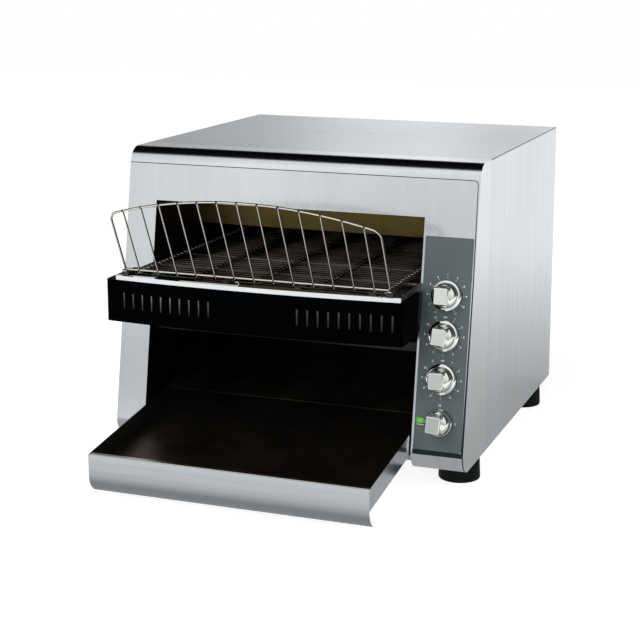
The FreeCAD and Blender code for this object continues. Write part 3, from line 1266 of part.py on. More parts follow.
def cooling_fan():
    """The fan on the back panel: its housing with a fixed motor, its rotor and its wire guard."""
    half = "fan_width / 2"
    shell = block("FanShell", ("-" + half, half), ("0", "fan_depth"), ("-" + half, half))
    duct = rod("FanDuct", ("0", "-cut_overrun", "0"), "Y", "fan_bore", "fan_depth + 2 * cut_overrun")
    arms_front = "fan_depth - fan_motor_depth"
    members = [cut("FanFrame", shell, [duct]),
               rod("FanMotor", ("0", arms_front, "0"), "Y", "fan_motor", "fan_motor_depth"),
               rod("FanPin", ("0", "fan_depth / 3", "0"), "Y", "fan_pin", "fan_depth / 2")]
    long_way = ("-fan_bore - fit_gap", "fan_bore + fit_gap")
    short_way = ("-fan_arm / 2", "fan_arm / 2")
    members.append(block("FanArmAcross", long_way, (arms_front, "fan_depth"), short_way))
    members.append(block("FanArmUp", short_way, (arms_front, "fan_depth"), long_way))
    seat(fuse("FanHousing", members), "fan_housing", "fan_offset", "fan_front", "fan_height")
    body = new_body("FanRotorBody")
    hub = sketch(body, "rotor_hub", "XZ_Plane")
    circle(hub, "fan_hub")
    pad(body, hub, "rotor_depth", backwards=True)
    blade = sketch(body, "rotor_blade", "XY_Plane")
    outline(blade, [("-blade_half", "blade_front"), ("blade_edge", "blade_front"),
                    ("blade_half", "blade_back"), ("blade_far", "blade_back")])
    first = pad(body, blade, "blade_length")
    pattern_round(body, [first], hub, "fan_blades")
    bore = sketch(body, "rotor_bore", "XZ_Plane")
    circle(bore, "rotor_bore_radius")
    pocket(body, bore, "2 * fan_depth", both_ways=True)
    seat(body, "fan_rotor", "fan_offset", "fan_front + fan_gap", "fan_height")
    wires = []
    for index in range(int(number("guard_rings"))):
        ring = doc.addObject("Part::Torus", "FanRing%d" % index)
        ring.setExpression("Radius1", formula("%d * guard_ring_gap" % (index + 1)))
        ring.setExpression("Radius2", formula("fan_guard_wire"))
        ring.Placement = FreeCAD.Placement(FreeCAD.Vector(), ALONG_Y)
        wires.append(ring)
    reach = "(guard_rings * guard_ring_gap + fan_guard_wire)"
    wires.append(rod("FanWireAcross", ("-" + reach, "0", "0"), "X", "fan_guard_wire", "2 * " + reach))
    wires.append(rod("FanWireUp", ("0", "0", "-" + reach), "Z", "fan_guard_wire", "2 * " + reach))
    seat(fuse("FanGuard", wires), "fan_guard", "fan_offset", "case_depth + fit_gap + fan_guard_wire",
         "fan_height")


def prism(name, start, along, radius, length):
    """A six-sided nut or head."""
    solid = doc.addObject("Part::Prism", name)
    solid.Polygon = 6
    solid.setExpression("Circumradius", formula(radius))
    solid.setExpression("Height", formula(length))
    solid.Placement = FreeCAD.Placement(FreeCAD.Vector(), DIRECTIONS[along])
    bind_base(solid, *start)
    return solid


def cord_gland():
    """The gland in the back panel, with a nut on each side and a way through for the cord."""
    inside = "case_depth - steel_gauge"
    length = "gland_tail + steel_gauge + gland_reach"
    start = inside + " - gland_tail"
    thread = rod("GlandThread", ("0", start, "0"), "Y", "gland_body", length)
    outer_nut = prism("GlandOuterNut", ("0", "case_depth + fit_gap", "0"), "Y", "gland_nut",
                      "gland_nut_depth")
    inner_nut = prism("GlandInnerNut", ("0", inside + " - fit_gap - gland_nut_depth", "0"), "Y",
                      "gland_nut", "gland_nut_depth")
    way = rod("GlandWay", ("0", start + " - cut_overrun", "0"), "Y", "gland_bore",
              length + " + 2 * cut_overrun")
    gland = cut("CordGland", fuse("GlandSolid", [thread, outer_nut, inner_nut]), [way])
    return seat(gland, "cord_gland", "gland_offset", "0", "gland_height")


def terminal_block():
    x = ("terminal_left", "terminal_left + terminal_width")
    solid = block("TerminalSolid", x, ("terminal_front", "terminal_front + terminal_depth"),
                  ("wall_low", "wall_low + terminal_height"))
    wells = []
    for index in range(int(number("terminal_ways"))):
        start = ("terminal_left + terminal_width * (%d + 0.5) / terminal_ways" % index,
                 "terminal_front + terminal_depth / 2", "wall_low + terminal_height / 2")
        wells.append(rod("TerminalWell%d" % index, start, "Z", "terminal_bore", "terminal_height"))
    return seat(cut("TerminalBlock", solid, wells), "terminal_block")


def feet():
    """Four round feet under the pan, and the bolts that hold them."""
    for name, across, back in FEET:
        body = new_body(name + "_body")
        profile = sketch(body, name + "_profile", "XZ_Plane")
        outline(profile, [("0", "-foot_height"), ("foot_radius", "-foot_height"),
                          ("foot_top_radius", "0"), ("0", "0")])
        turned = body.newObject("PartDesign::Revolution", name + "_turned")
        turned.Profile = profile
        turned.ReferenceAxis = (profile, ["V_Axis"])
        turned.Angle = 360
        doc.recompute()
        rim = edges_where(turned.Shape, lambda middle, along: near(middle.z, -number("foot_height"))
                          and near(math.hypot(middle.x, middle.y), number("foot_radius")))
        fillet(body, turned, rim, "foot_edge")
        bore = rod(name + "_bore", ("0", "0", "-bolt_length - fit_gap"), "Z", "bolt_radius + running_gap",
                   "bolt_length + cut_overrun")
        seat(cut(name + "_piece", body, [bore]), name, across, back)
    bolts = []
    for name, across, back in FEET:
        shank = rod(name + "_shank", (across, back, "-bolt_length"), "Z", "bolt_radius",
                    "bolt_length + steel_gauge")
        head = prism(name + "_head", (across, back, "steel_gauge"), "Z", "bolt_head_radius", "bolt_head")
        bolts.append(fuse(name + "_bolt", [shank, head]))
    seat(group("FootBolts", bolts), "foot_bolts")


def panel_screws():
    screws = []
    for row, up in enumerate(SCREW_ROWS):
        for column, across in enumerate(SCREW_COLUMNS):
            name = "Screw%d%d" % (row, column)
            shank = rod(name + "Shank", (across, "case_depth - screw_length", up), "Y", "screw_radius",
                        "screw_length")
            head = rod(name + "Head", (across, "case_depth", up), "Y", "screw_head_radius", "screw_head")
            screws.append(fuse(name, [shank, head]))
    return seat(group("PanelScrews", screws), "panel_screws")


def check_and_export():
    """Stop if any object failed, then write one file for each piece."""
    doc.recompute()
    for item in doc.Objects:
        if "Invalid" in item.State or "Error" in item.State:
            raise ValueError("%s (%s) failed" % (item.Name, item.Label))
    os.makedirs("parts", exist_ok=True)
    for piece in pieces:
        if piece.Shape.isNull() or not piece.Shape.isValid() or not piece.Shape.Solids:
            raise ValueError("%s has no valid solid" % piece.Label)
    for piece in pieces:
        piece.Shape.exportStep("parts/%s.step" % piece.Label)
    print("%d pieces" % len(pieces))


front_fascia()
outer_casing()
base_pan()
back_panel()
chamber_walls()
chamber_ceiling()
front_baffle()
heaters()
rails()
belt_supports()
shaft_bushes()
shafts()
conveyor_belt()
conveyor_cover()
nose_strip()
guard_sockets()
wire_guard()
output_tray()
tray_supports()
return_slide()
rear_chute()
crumb_tray()
control_panel()
controls()
knobs()
indicator_lamp()
drive_train()
cooling_fan()
cord_gland()
terminal_block()
feet()
panel_screws()
check_and_export()
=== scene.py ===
import json
import math

import bmesh
import bpy
from mathutils import Matrix, Vector


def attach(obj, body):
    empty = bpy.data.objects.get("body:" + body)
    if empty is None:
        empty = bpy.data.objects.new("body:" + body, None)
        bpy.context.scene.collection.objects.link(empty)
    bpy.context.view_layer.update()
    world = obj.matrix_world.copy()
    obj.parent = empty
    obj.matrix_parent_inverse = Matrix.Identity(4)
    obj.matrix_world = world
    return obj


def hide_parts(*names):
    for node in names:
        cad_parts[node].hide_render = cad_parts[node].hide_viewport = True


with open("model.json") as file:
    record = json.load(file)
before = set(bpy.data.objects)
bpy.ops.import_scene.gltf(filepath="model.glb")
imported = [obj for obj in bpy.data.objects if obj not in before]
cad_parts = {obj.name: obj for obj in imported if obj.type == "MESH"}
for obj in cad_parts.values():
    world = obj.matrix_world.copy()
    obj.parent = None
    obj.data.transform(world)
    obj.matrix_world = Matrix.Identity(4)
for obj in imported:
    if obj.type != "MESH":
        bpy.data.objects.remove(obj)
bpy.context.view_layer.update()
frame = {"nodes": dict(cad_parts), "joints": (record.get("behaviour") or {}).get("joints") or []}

NODES = frame["nodes"]
JOINTS = {joint["name"]: joint for joint in frame["joints"]}
MM = 0.001

# Sizes of the toaster in millimetres, in the cabinet frame of the construction:
# Y runs back from the foot line of the leaning face, Z up from the cabinet's underside.
BACK_SHIFT = 188.1
FOOT_HEIGHT = 34.0
HALF_WIDTH = 250.0
CASE_HEIGHT = 398.5
FACE_LEAN = math.radians(9.6)
GUARD_LEAN = math.radians(26)
GUARD_MIDDLE = -19.5
GUARD_HALF = 184.5
GUARD_FOOT_BACK = -44
GUARD_FOOT_UP = 251
GUARD_BARS = 13
GUARD_BAR_END = 20.5
BELT_FRONT = -11.5
BELT_BACK = 416.0
BELT_HEIGHT = 221.0
BELT_RADIUS = 22.5
BELT_LEFT = -203.4
BELT_RIGHT = 162.4
BELT_PITCH = 11.7
COVER_MIDDLE = -27.8
COVER_RADIUS = 2089.2
COVER_REACH = 50.9
KNOB_LINE = 214.8
LAMP_LINE = 190
LAMP_ALONG = 69.5
PANEL_LEFT = 181.0
PANEL_LOW = 31.4
BAND_LOW = 24.8
FOLD_SHADE_WIDTH = 1.3
BEND_RADIUS = 24.0
BEND_TOP = 28.4

# How fast a sheet's grain changes along each axis.
SLOW = 0.012
GRAIN_X = (SLOW, 1, 1)
GRAIN_UP = (1, 1, SLOW)
GRAIN_SHEET = (SLOW, 1, SLOW)


def place(x, back, up):
    """A point of the cabinet frame, in metres in the shared frame."""
    return Vector((x, back - BACK_SHIFT, up + FOOT_HEIGHT)) * MM


def on_face(x, along, proud=0.0):
    """A point so far up along the leaning face and so far proud of it."""
    return place(x, along * math.sin(FACE_LEAN) - proud * math.cos(FACE_LEAN),
                 along * math.cos(FACE_LEAN) + proud * math.sin(FACE_LEAN))


FACE_RIGHT = Vector((1, 0, 0))
FACE_UP = Vector((0, math.sin(FACE_LEAN), math.cos(FACE_LEAN)))
FACE_OUT = Vector((0, -math.cos(FACE_LEAN), math.sin(FACE_LEAN)))


def face_matrix(origin, turn=0.0):
    """Local X right, Y up along the face and Z out of it, turned anticlockwise about Z."""
    across = FACE_RIGHT * math.cos(turn) + FACE_UP * math.sin(turn)
    up = FACE_UP * math.cos(turn) - FACE_RIGHT * math.sin(turn)
    rows = Matrix((across, up, FACE_OUT)).transposed().to_4x4()
    return Matrix.Translation(origin) @ rows


# Materials

class Tree:
    """A material's node tree, with short calls for the nodes used here."""

    def __init__(self, name):
        self.material = bpy.data.materials.new(name)
        self.material.use_nodes = True
        self.tree = self.material.node_tree
        self.shader = self.tree.nodes["Principled BSDF"]

    def add(self, kind, inputs=(), **settings):
        node = self.tree.nodes.new(kind)
        for key, value in settings.items():
            setattr(node, key, value)
        for key, value in dict(inputs).items():
            if isinstance(value, bpy.types.NodeSocket):
                self.tree.links.new(value, node.inputs[key])
            else:
                node.inputs[key].default_value = value
        return node

    def set(self, **values):
        for key, value in values.items():
            socket = self.shader.inputs[key.replace("_", " ")]
            if isinstance(value, bpy.types.NodeSocket):
                self.tree.links.new(value, socket)
            else:
                socket.default_value = value

    def place(self, scale=(1, 1, 1), moved=(0, 0, 0)):
        coordinates = self.add("ShaderNodeTexCoord").outputs["Object"]
        return self.add("ShaderNodeMapping", {"Vector": coordinates, "Scale": scale,
                                              "Location": moved}).outputs["Vector"]

    def noise(self, where, scale, detail=3.0, rough=0.5):
        return self.add("ShaderNodeTexNoise", {"Vector": where, "Scale": scale, "Detail": detail,
                                               "Roughness": rough}).outputs["Fac"]

    def ramp(self, value, stops):
        node = self.add("ShaderNodeValToRGB", {"Fac": value})
        elements = node.color_ramp.elements
        while len(elements) < len(stops):
            elements.new(0.5)
        for element, (spot, color) in zip(elements, stops):
            element.position = spot
            element.color = (*color, 1) if len(color) == 3 else color
        return node.outputs["Color"]

    def spread(self, value, low, high, start=0.0, end=1.0):
        return self.add("ShaderNodeMapRange", {"Value": value, "From Min": start, "From Max": end,
                                               "To Min": low, "To Max": high}).outputs["Result"]

    def mix(self, share, first, second, kind="MIX"):
        node = self.add("ShaderNodeMix", data_type="RGBA", blend_type=kind)
        for socket, value in ((node.inputs[0], share), (node.inputs[6], first), (node.inputs[7], second)):
            if isinstance(value, bpy.types.NodeSocket):
                self.tree.links.new(value, socket)
            else:
                socket.default_value = (*value, 1) if isinstance(value, tuple) else value
        return node.outputs[2]

    def bump(self, height, distance):
        node = self.add("ShaderNodeBump", {"Height": height, "Distance": distance})
        self.tree.links.new(node.outputs["Normal"], self.shader.inputs["Normal"])

    def axes(self, vector):
        return self.add("ShaderNodeSeparateXYZ", {"Vector": vector}).outputs

    def facing(self):
        return self.axes(self.add("ShaderNodeNewGeometry").outputs["Normal"])


def times(color, factor):
    return tuple(min(1.0, channel * factor) for channel in color)


def brushed(name, color, fast, rough=(0.22, 0.34), tone=0.07, streak=0.05, grain=0.00002):
    """Sheet steel with its grain across the axes where fast is 1."""
    made = Tree(name)
    fine = made.noise(made.place(fast), 1400, 4.0, 0.6)
    broad = made.noise(made.place(fast, (3.1, 1.7, 0.4)), 90, 3.0, 0.5)
    cloud = made.noise(made.place((1, 1, 1), (0.6, 2.2, 5.0)), 5, 2.0, 0.5)
    lines = made.ramp(fine, [(0.30, times(color, 1 - tone)), (0.70, times(color, 1 + tone))])
    bands = made.ramp(broad, [(0.35, (1 - streak,) * 3), (0.65, (1.0,) * 3)])
    clouds = made.ramp(cloud, [(0.35, (0.95,) * 3), (0.65, (1.0,) * 3)])
    toned = made.mix(1.0, made.mix(1.0, lines, bands, "MULTIPLY"), clouds, "MULTIPLY")
    made.set(Base_Color=toned, Metallic=1.0, Roughness=made.spread(fine, rough[0], rough[1], 0.3, 0.7))
    made.bump(fine, grain)
    return made.material


def stained(name, color, tint, fast, rough=(0.3, 0.5)):
    """Sheet steel that heat has coloured in soft clouds."""
    made = Tree(name)
    fine = made.noise(made.place(fast), 900, 3.0, 0.6)
    cloud = made.noise(made.place((1, 1, 1.6)), 16, 4.0, 0.6)
    lines = made.ramp(fine, [(0.3, (0.88,) * 3), (0.7, (1.0,) * 3)])
    clouds = made.ramp(cloud, [(0.38, color), (0.62, tint)])
    made.set(Base_Color=made.mix(1.0, clouds, lines, "MULTIPLY"), Metallic=1.0,
             Roughness=made.spread(cloud, rough[0], rough[1], 0.3, 0.7))
    made.bump(fine, 0.00003)
    return made.material


def polished(name, color, rough=(0.03, 0.09), scale=60):
    """Chrome with faint smudges."""
    made = Tree(name)
    smudge = made.noise(made.place(), scale, 4.0, 0.6)
    made.set(Base_Color=made.ramp(smudge, [(0.3, times(color, 0.95)), (0.7, color)]), Metallic=1.0,
             Roughness=made.spread(smudge, rough[0], rough[1], 0.35, 0.7))
    return made.material


def moulded(name, color, rough=(0.4, 0.55), scale=900, depth=0.00003, vary=0.12, specular=0.5):
    """Plastic, rubber or paint: one colour with a fine skin."""
    made = Tree(name)
    skin = made.noise(made.place(), scale, 3.0, 0.55)
    cloud = made.noise(made.place((1, 1, 1), (4.0, 1.0, 2.0)), 22, 3.0, 0.5)
    made.set(Base_Color=made.ramp(cloud, [(0.3, times(color, 1 - vary)), (0.7, times(color, 1 + vary))]),
             Roughness=made.spread(cloud, rough[0], rough[1], 0.3, 0.7), Specular_IOR_Level=specular)
    made.bump(skin, depth)
    return made.material


def lamp_plastic():
    """The lamp's lens: clear green, brighter towards its middle."""
    made = Tree("lamp_lens")
    middle = on_face(LAMP_LINE, LAMP_ALONG)
    where = made.place((1, 1, 1), tuple(-middle))
    far = made.add("ShaderNodeVectorMath", {0: where}, operation="LENGTH").outputs["Value"]
    glow = made.ramp(made.spread(far, 0.0, 1.0, 0.0, 0.0065),
                     [(0.0, (0.22, 0.72, 0.03)), (1.0, (0.04, 0.30, 0.01))])
    cells = made.noise(made.place(), 2500, 2.0, 0.5)
    made.set(Base_Color=glow, Emission_Color=glow, Emission_Strength=0.22,
             Roughness=made.spread(cells, 0.15, 0.3, 0.3, 0.7), Coat_Weight=0.3)
    return made.material


def casing_steel():
    """The casing's brushed sheet, with a dark line of painted shade along the fold of its two upper side
    edges.
    """
    made = Tree("casing_steel")
    fine = made.noise(made.place(GRAIN_SHEET), 1400, 4.0, 0.6)
    broad = made.noise(made.place(GRAIN_SHEET, (3.1, 1.7, 0.4)), 70, 3.0, 0.5)
    cloud = made.noise(made.place((1, 1, 1), (0.6, 2.2, 5.0)), 5, 2.0, 0.5)
    lines = made.ramp(fine, [(0.30, (0.745, 0.765, 0.79)), (0.70, (0.815, 0.835, 0.865))])
    bands = made.ramp(broad, [(0.35, (0.94,) * 3), (0.65, (1.0,) * 3)])
    clouds = made.ramp(cloud, [(0.35, (0.95,) * 3), (0.65, (1.0,) * 3)])
    toned = made.mix(1.0, made.mix(1.0, lines, bands, "MULTIPLY"), clouds, "MULTIPLY")
    # Painted shade: a dark line painted along the fold between the top and each side; the mask named joint
    # below marks it, not a joint in the sheet.
    parts = made.axes(made.place())
    beside = made.add("ShaderNodeMath", {0: parts["X"]}, operation="ABSOLUTE").outputs[0]
    at_side = made.add("ShaderNodeMath", {0: beside, 1: (HALF_WIDTH - FOLD_SHADE_WIDTH) * MM},
                       operation="GREATER_THAN").outputs[0]
    top_edge = (CASE_HEIGHT + FOOT_HEIGHT - FOLD_SHADE_WIDTH) * MM
    at_top = made.add("ShaderNodeMath", {0: parts["Z"], 1: top_edge},
                      operation="GREATER_THAN").outputs[0]
    joint = made.add("ShaderNodeMath", {0: at_side, 1: at_top}, operation="MULTIPLY").outputs[0]
    made.set(Base_Color=made.mix(joint, toned, (0.06, 0.07, 0.08)), Metallic=1.0,
             Roughness=made.spread(fine, 0.18, 0.28, 0.3, 0.7))
    made.bump(fine, 0.00002)
    return made.material


def slot_shade():
    """Grey sheet behind the cover's slots, with painted light and shade: lighter at the top and towards the
    left, as lit from above and from the left.
    """
    made = Tree("slot_backing")
    parts = made.axes(made.place())
    up = made.spread(parts["Z"], 0.0, 1.0, (195 + FOOT_HEIGHT) * MM, (215.5 + FOOT_HEIGHT) * MM)
    across = made.spread(parts["X"], 0.0, 1.0, -0.2, 0.16)
    # Painted light: bright at the top fading to near black at the bottom, and brighter towards the left than
    # the right.
    painted_light_from_above = made.ramp(up, [(0.0, (0.02,) * 3), (0.45, (0.35,) * 3), (1.0, (1.0,) * 3)])
    side = made.ramp(across, [(0.0, (0.16,) * 3), (0.14, (0.34,) * 3), (0.35, (0.12,) * 3),
                              (1.0, (0.07,) * 3)])
    skin = made.noise(made.place(), 500, 3.0, 0.5)
    made.set(Base_Color=made.mix(1.0, painted_light_from_above, side, "MULTIPLY"),
             Roughness=made.spread(skin, 0.5, 0.7, 0.3, 0.7))
    return made.material


def tray_steel():
    """The tray's brushed sheet, with painted shade: its floor painted dark and made rougher, and painted
    darker low on its front.
    """
    made = Tree("tray_steel")
    fine = made.noise(made.place(GRAIN_X), 1400, 4.0, 0.6)
    broad = made.noise(made.place(GRAIN_X, (3.1, 1.7, 0.4)), 90, 3.0, 0.5)
    cloud = made.noise(made.place((1, 1, 1.4), (2.0, 0.5, 1.0)), 14, 4.0, 0.6)
    lines = made.ramp(fine, [(0.30, (0.75, 0.785, 0.82)), (0.70, (0.84, 0.875, 0.91))])
    bands = made.ramp(broad, [(0.35, (0.93,) * 3), (0.65, (1.0,) * 3)])
    toned = made.mix(1.0, lines, bands, "MULTIPLY")
    # Painted shade: upward faces get a dark brown in place of the shade and dark reflection inside the tray.
    painted_dark_floor = made.ramp(cloud, [(0.35, (0.15, 0.12, 0.09)), (0.65, (0.26, 0.21, 0.16))])
    inside = made.spread(made.facing()["Z"], 0.0, 1.0, 0.7, 0.9)
    # Painted shade: darker towards the bottom.
    height = made.spread(made.axes(made.place())["Z"], 0.0, 1.0, 0.020, 0.045)
    low = made.ramp(height, [(0.2, (0.66,) * 3), (0.9, (1.0,) * 3)])
    shaded = made.mix(1.0, toned, low, "MULTIPLY")
    made.set(Base_Color=made.mix(inside, shaded, painted_dark_floor), Metallic=1.0,
             Roughness=made.spread(inside, 0.2, 0.42))
    made.bump(fine, 0.00002)
    return made.material


def guard_chrome():
    """The guard's chrome, with painted shade darkening the upper and right sides of its wires."""
    made = Tree("guard_chrome")
    smudge = made.noise(made.place(), 140, 4.0, 0.6)
    bright = made.ramp(smudge, [(0.3, (0.80, 0.75, 0.66)), (0.7, (0.88, 0.83, 0.74))])
    facing = made.facing()
    upper = made.spread(facing["Z"], 0.0, 1.0, 0.35, 0.60)
    right = made.spread(facing["X"], 0.0, 1.0, 0.35, 0.60)
    # Painted shade: faces turned up or to the right are painted dark.
    painted_shade_sides = made.add("ShaderNodeMath", {0: upper, 1: right}, operation="MAXIMUM").outputs[0]
    made.set(Base_Color=made.mix(painted_shade_sides, bright, (0.08, 0.07, 0.06)), Metallic=1.0,
             Roughness=made.spread(smudge, 0.03, 0.09, 0.35, 0.7))
    return made.material


looks = {
    "fascia": brushed("fascia_steel", (0.80, 0.82, 0.84), GRAIN_UP, rough=(0.12, 0.18), tone=0.03,
                      streak=0.03),
    "casing": casing_steel(),
    "sheet": brushed("zinc_sheet", (0.60, 0.61, 0.62), GRAIN_X, rough=(0.3, 0.42)),
    "tray": tray_steel(),
    "chamber": stained("chamber_steel", (0.26, 0.25, 0.22), (0.36, 0.33, 0.25), GRAIN_X),
    "baffle": stained("baffle_steel", (0.15, 0.11, 0.033), (0.21, 0.16, 0.055), GRAIN_X),
    "turned": brushed("turned_steel", (0.62, 0.62, 0.63), GRAIN_X, rough=(0.25, 0.4)),
    "wire": stained("belt_wire", (0.10, 0.085, 0.07), (0.24, 0.21, 0.18), (1, 1, 1), rough=(0.25, 0.4)),
    "hook": polished("belt_hook", (0.88, 0.84, 0.78), rough=(0.2, 0.35), scale=400),
    "heater": moulded("heater_sheath", (0.05, 0.035, 0.03), rough=(0.5, 0.7), vary=0.3),
    "ceramic": moulded("end_cap_ceramic", (0.78, 0.74, 0.66), rough=(0.5, 0.65)),
    "bronze": polished("bush_bronze", (0.62, 0.43, 0.22), rough=(0.25, 0.4)),
    "cover": moulded("cover_paint", (0.0006, 0.001, 0.0014), rough=(0.3, 0.4), scale=300, depth=0.000006,
                     specular=0.004),
    "slots": slot_shade(),
    "chrome": polished("bright_chrome", (0.86, 0.87, 0.86)),
    "knob": polished("knob_chrome", (0.98, 1.0, 0.95), rough=(0.03, 0.07)),
    "guard": guard_chrome(),
    "weld": stained("weld_steel", (0.05, 0.045, 0.04), (0.12, 0.11, 0.10), (1, 1, 1), rough=(0.3, 0.45)),
    "rail": brushed("rail_steel", (0.10, 0.09, 0.11), GRAIN_X, rough=(0.3, 0.45)),
    # Painted shade: a near-black sheet for the inner side walls and the crumb tray, which stand in the
    # chamber's shade.
    "shade": stained("painted_shade_steel", (0.035, 0.037, 0.040), (0.06, 0.06, 0.06), GRAIN_X, rough=(0.45, 0.6)),
    "strip": brushed("bright_strip", (0.86, 0.88, 0.90), GRAIN_X, rough=(0.10, 0.18), tone=0.03, streak=0.03),
    "overlay": moulded("panel_film", (0.105, 0.130, 0.136), rough=(0.34, 0.42), scale=1600, depth=0.00001,
                       vary=0.05),
    "hem": brushed("hem_steel", (0.80, 0.77, 0.68), GRAIN_X, rough=(0.25, 0.4)),
    # Dark colour for the casing's seam line, and for the painted shade lines on the fascia.
    "line": moulded("seam_and_painted_shade_line", (0.010, 0.019, 0.026), rough=(0.3, 0.45), vary=0.2, specular=0.2),
    "print": moulded("panel_print", (0.92, 0.94, 0.94), rough=(0.4, 0.5)),
    "rubber": moulded("foot_rubber", (0.004, 0.007, 0.008), rough=(0.55, 0.75), scale=700, depth=0.00008,
                      vary=0.25, specular=0.25),
    "black": moulded("black_plastic", (0.02, 0.02, 0.021), rough=(0.35, 0.5)),
    "white": moulded("terminal_plastic", (0.75, 0.75, 0.72)),
    "motor": moulded("motor_paint", (0.20, 0.22, 0.24), rough=(0.35, 0.5)),
    "chain": stained("chain_steel", (0.16, 0.15, 0.14), (0.26, 0.25, 0.24), (1, 1, 1)),
    "lamp": lamp_plastic(),
}

NODE_LOOKS = {
    "front_fascia": "fascia", "outer_casing": "casing", "back_panel": "sheet", "base_pan": "sheet",
    "inner_side_left": "shade", "inner_side_right": "shade", "chamber_ceiling": "chamber",
    "front_baffle": "baffle", "upper_heaters": "heater", "lower_heaters": "heater",
    "heater_end_caps": "ceramic", "rail_left": "rail", "rail_right": "rail",
    "belt_supports": "chain", "shaft_bushes": "bronze", "front_shaft": "turned",
    "drive_shaft": "turned", "front_belt_wheels": "chain", "drive_belt_wheels": "chain",
    "conveyor_belt": "wire", "conveyor_cover": "cover", "nose_strip": "strip",
    "guard_sockets": "black", "wire_guard": "guard", "output_tray": "tray",
    "tray_supports": "turned", "return_slide": "chamber", "rear_chute": "chamber",
    "crumb_tray": "shade", "control_overlay": "overlay", "power_switch": "black",
    "bottom_heat_control": "black", "top_heat_control": "black", "speed_control": "black",
    "power_spindle": "turned", "bottom_heat_spindle": "turned", "top_heat_spindle": "turned",
    "speed_spindle": "turned", "power_knob": "knob", "bottom_heat_knob": "knob",
    "top_heat_knob": "knob", "speed_knob": "knob", "indicator_lamp": "lamp",
    "driven_chain_sprocket": "turned", "motor_sprocket": "turned", "drive_chain": "chain",
    "gearmotor": "motor", "motor_bracket": "sheet", "fan_housing": "black", "fan_rotor": "black",
    "fan_guard": "guard", "cord_gland": "black", "terminal_block": "white",
    "front_left_foot": "rubber", "front_right_foot": "rubber", "rear_left_foot": "rubber",
    "rear_right_foot": "rubber", "foot_bolts": "turned", "panel_screws": "turned",
}


def dress_nodes():
    """Give every carried-over node its material, and soften the edges of the casing, fascia, tray, cover,
    nose strip and overlay.
    """
    for name, look in NODE_LOOKS.items():
        item = NODES[name]
        item.data.materials.clear()
        item.data.materials.append(looks[look])
    for name, width in (("outer_casing", 0.5), ("front_fascia", 0.4), ("output_tray", 0.4),
                        ("conveyor_cover", 0.3), ("nose_strip", 0.4), ("control_overlay", 0.15)):
        bevel = NODES[name].modifiers.new("soft_edges", "BEVEL")
        bevel.width = width * MM
        bevel.segments = 2
        bevel.limit_method = "ANGLE"
        bevel.angle_limit = math.radians(40)
        bevel.harden_normals = True


# Pieces

def finish_piece(item, look, body, replaces=()):
    """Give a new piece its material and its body."""
    item.data.materials.append(looks[look])
    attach(item, body)
    if replaces:
        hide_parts(*replaces)


def mesh_piece(name, made, smooth=None):
    """Turn a bmesh into an object, smooth below an angle."""
    bmesh.ops.recalc_face_normals(made, faces=made.faces)
    data = bpy.data.meshes.new(name)
    made.to_mesh(data)
    made.free()
    item = bpy.data.objects.new(name, data)
    bpy.context.scene.collection.objects.link(item)
    if smooth is not None:
        data.shade_smooth()
        data.set_sharp_from_angle(angle=math.radians(smooth))
    return item


def wire_piece(name, paths, radius, sides=3):
    """Round wires along lists of points, as one curve."""
    curve = bpy.data.curves.new(name, "CURVE")
    curve.dimensions = "3D"
    curve.bevel_depth = radius * MM
    curve.bevel_resolution = sides
    curve.use_fill_caps = True
    for points in paths:
        spline = curve.splines.new("POLY")
        spline.points.add(len(points) - 1)
        for spot, point in zip(spline.points, points):
            spot.co = (*point, 1)
    item = bpy.data.objects.new(name, curve)
    bpy.context.scene.collection.objects.link(item)
    return item


def belt_point(x, travel, lift=0.0):
    """A point on the belt's loop, so far round it from the front of the top run."""
    radius = BELT_RADIUS + lift
    run = BELT_BACK - BELT_FRONT
    turn = math.pi * BELT_RADIUS
    travel %= 2 * (run + turn)
    if travel < run:
        return place(x, BELT_FRONT + travel, BELT_HEIGHT + radius)
    travel -= run
    if travel < turn:
        angle = travel / BELT_RADIUS
        return place(x, BELT_BACK + radius * math.sin(angle), BELT_HEIGHT + radius * math.cos(angle))
    travel -= turn
    if travel < run:
        return place(x, BELT_BACK - travel, BELT_HEIGHT - radius)
    angle = (travel - run) / BELT_RADIUS
    return place(x, BELT_FRONT - radius * math.sin(angle), BELT_HEIGHT - radius * math.cos(angle))


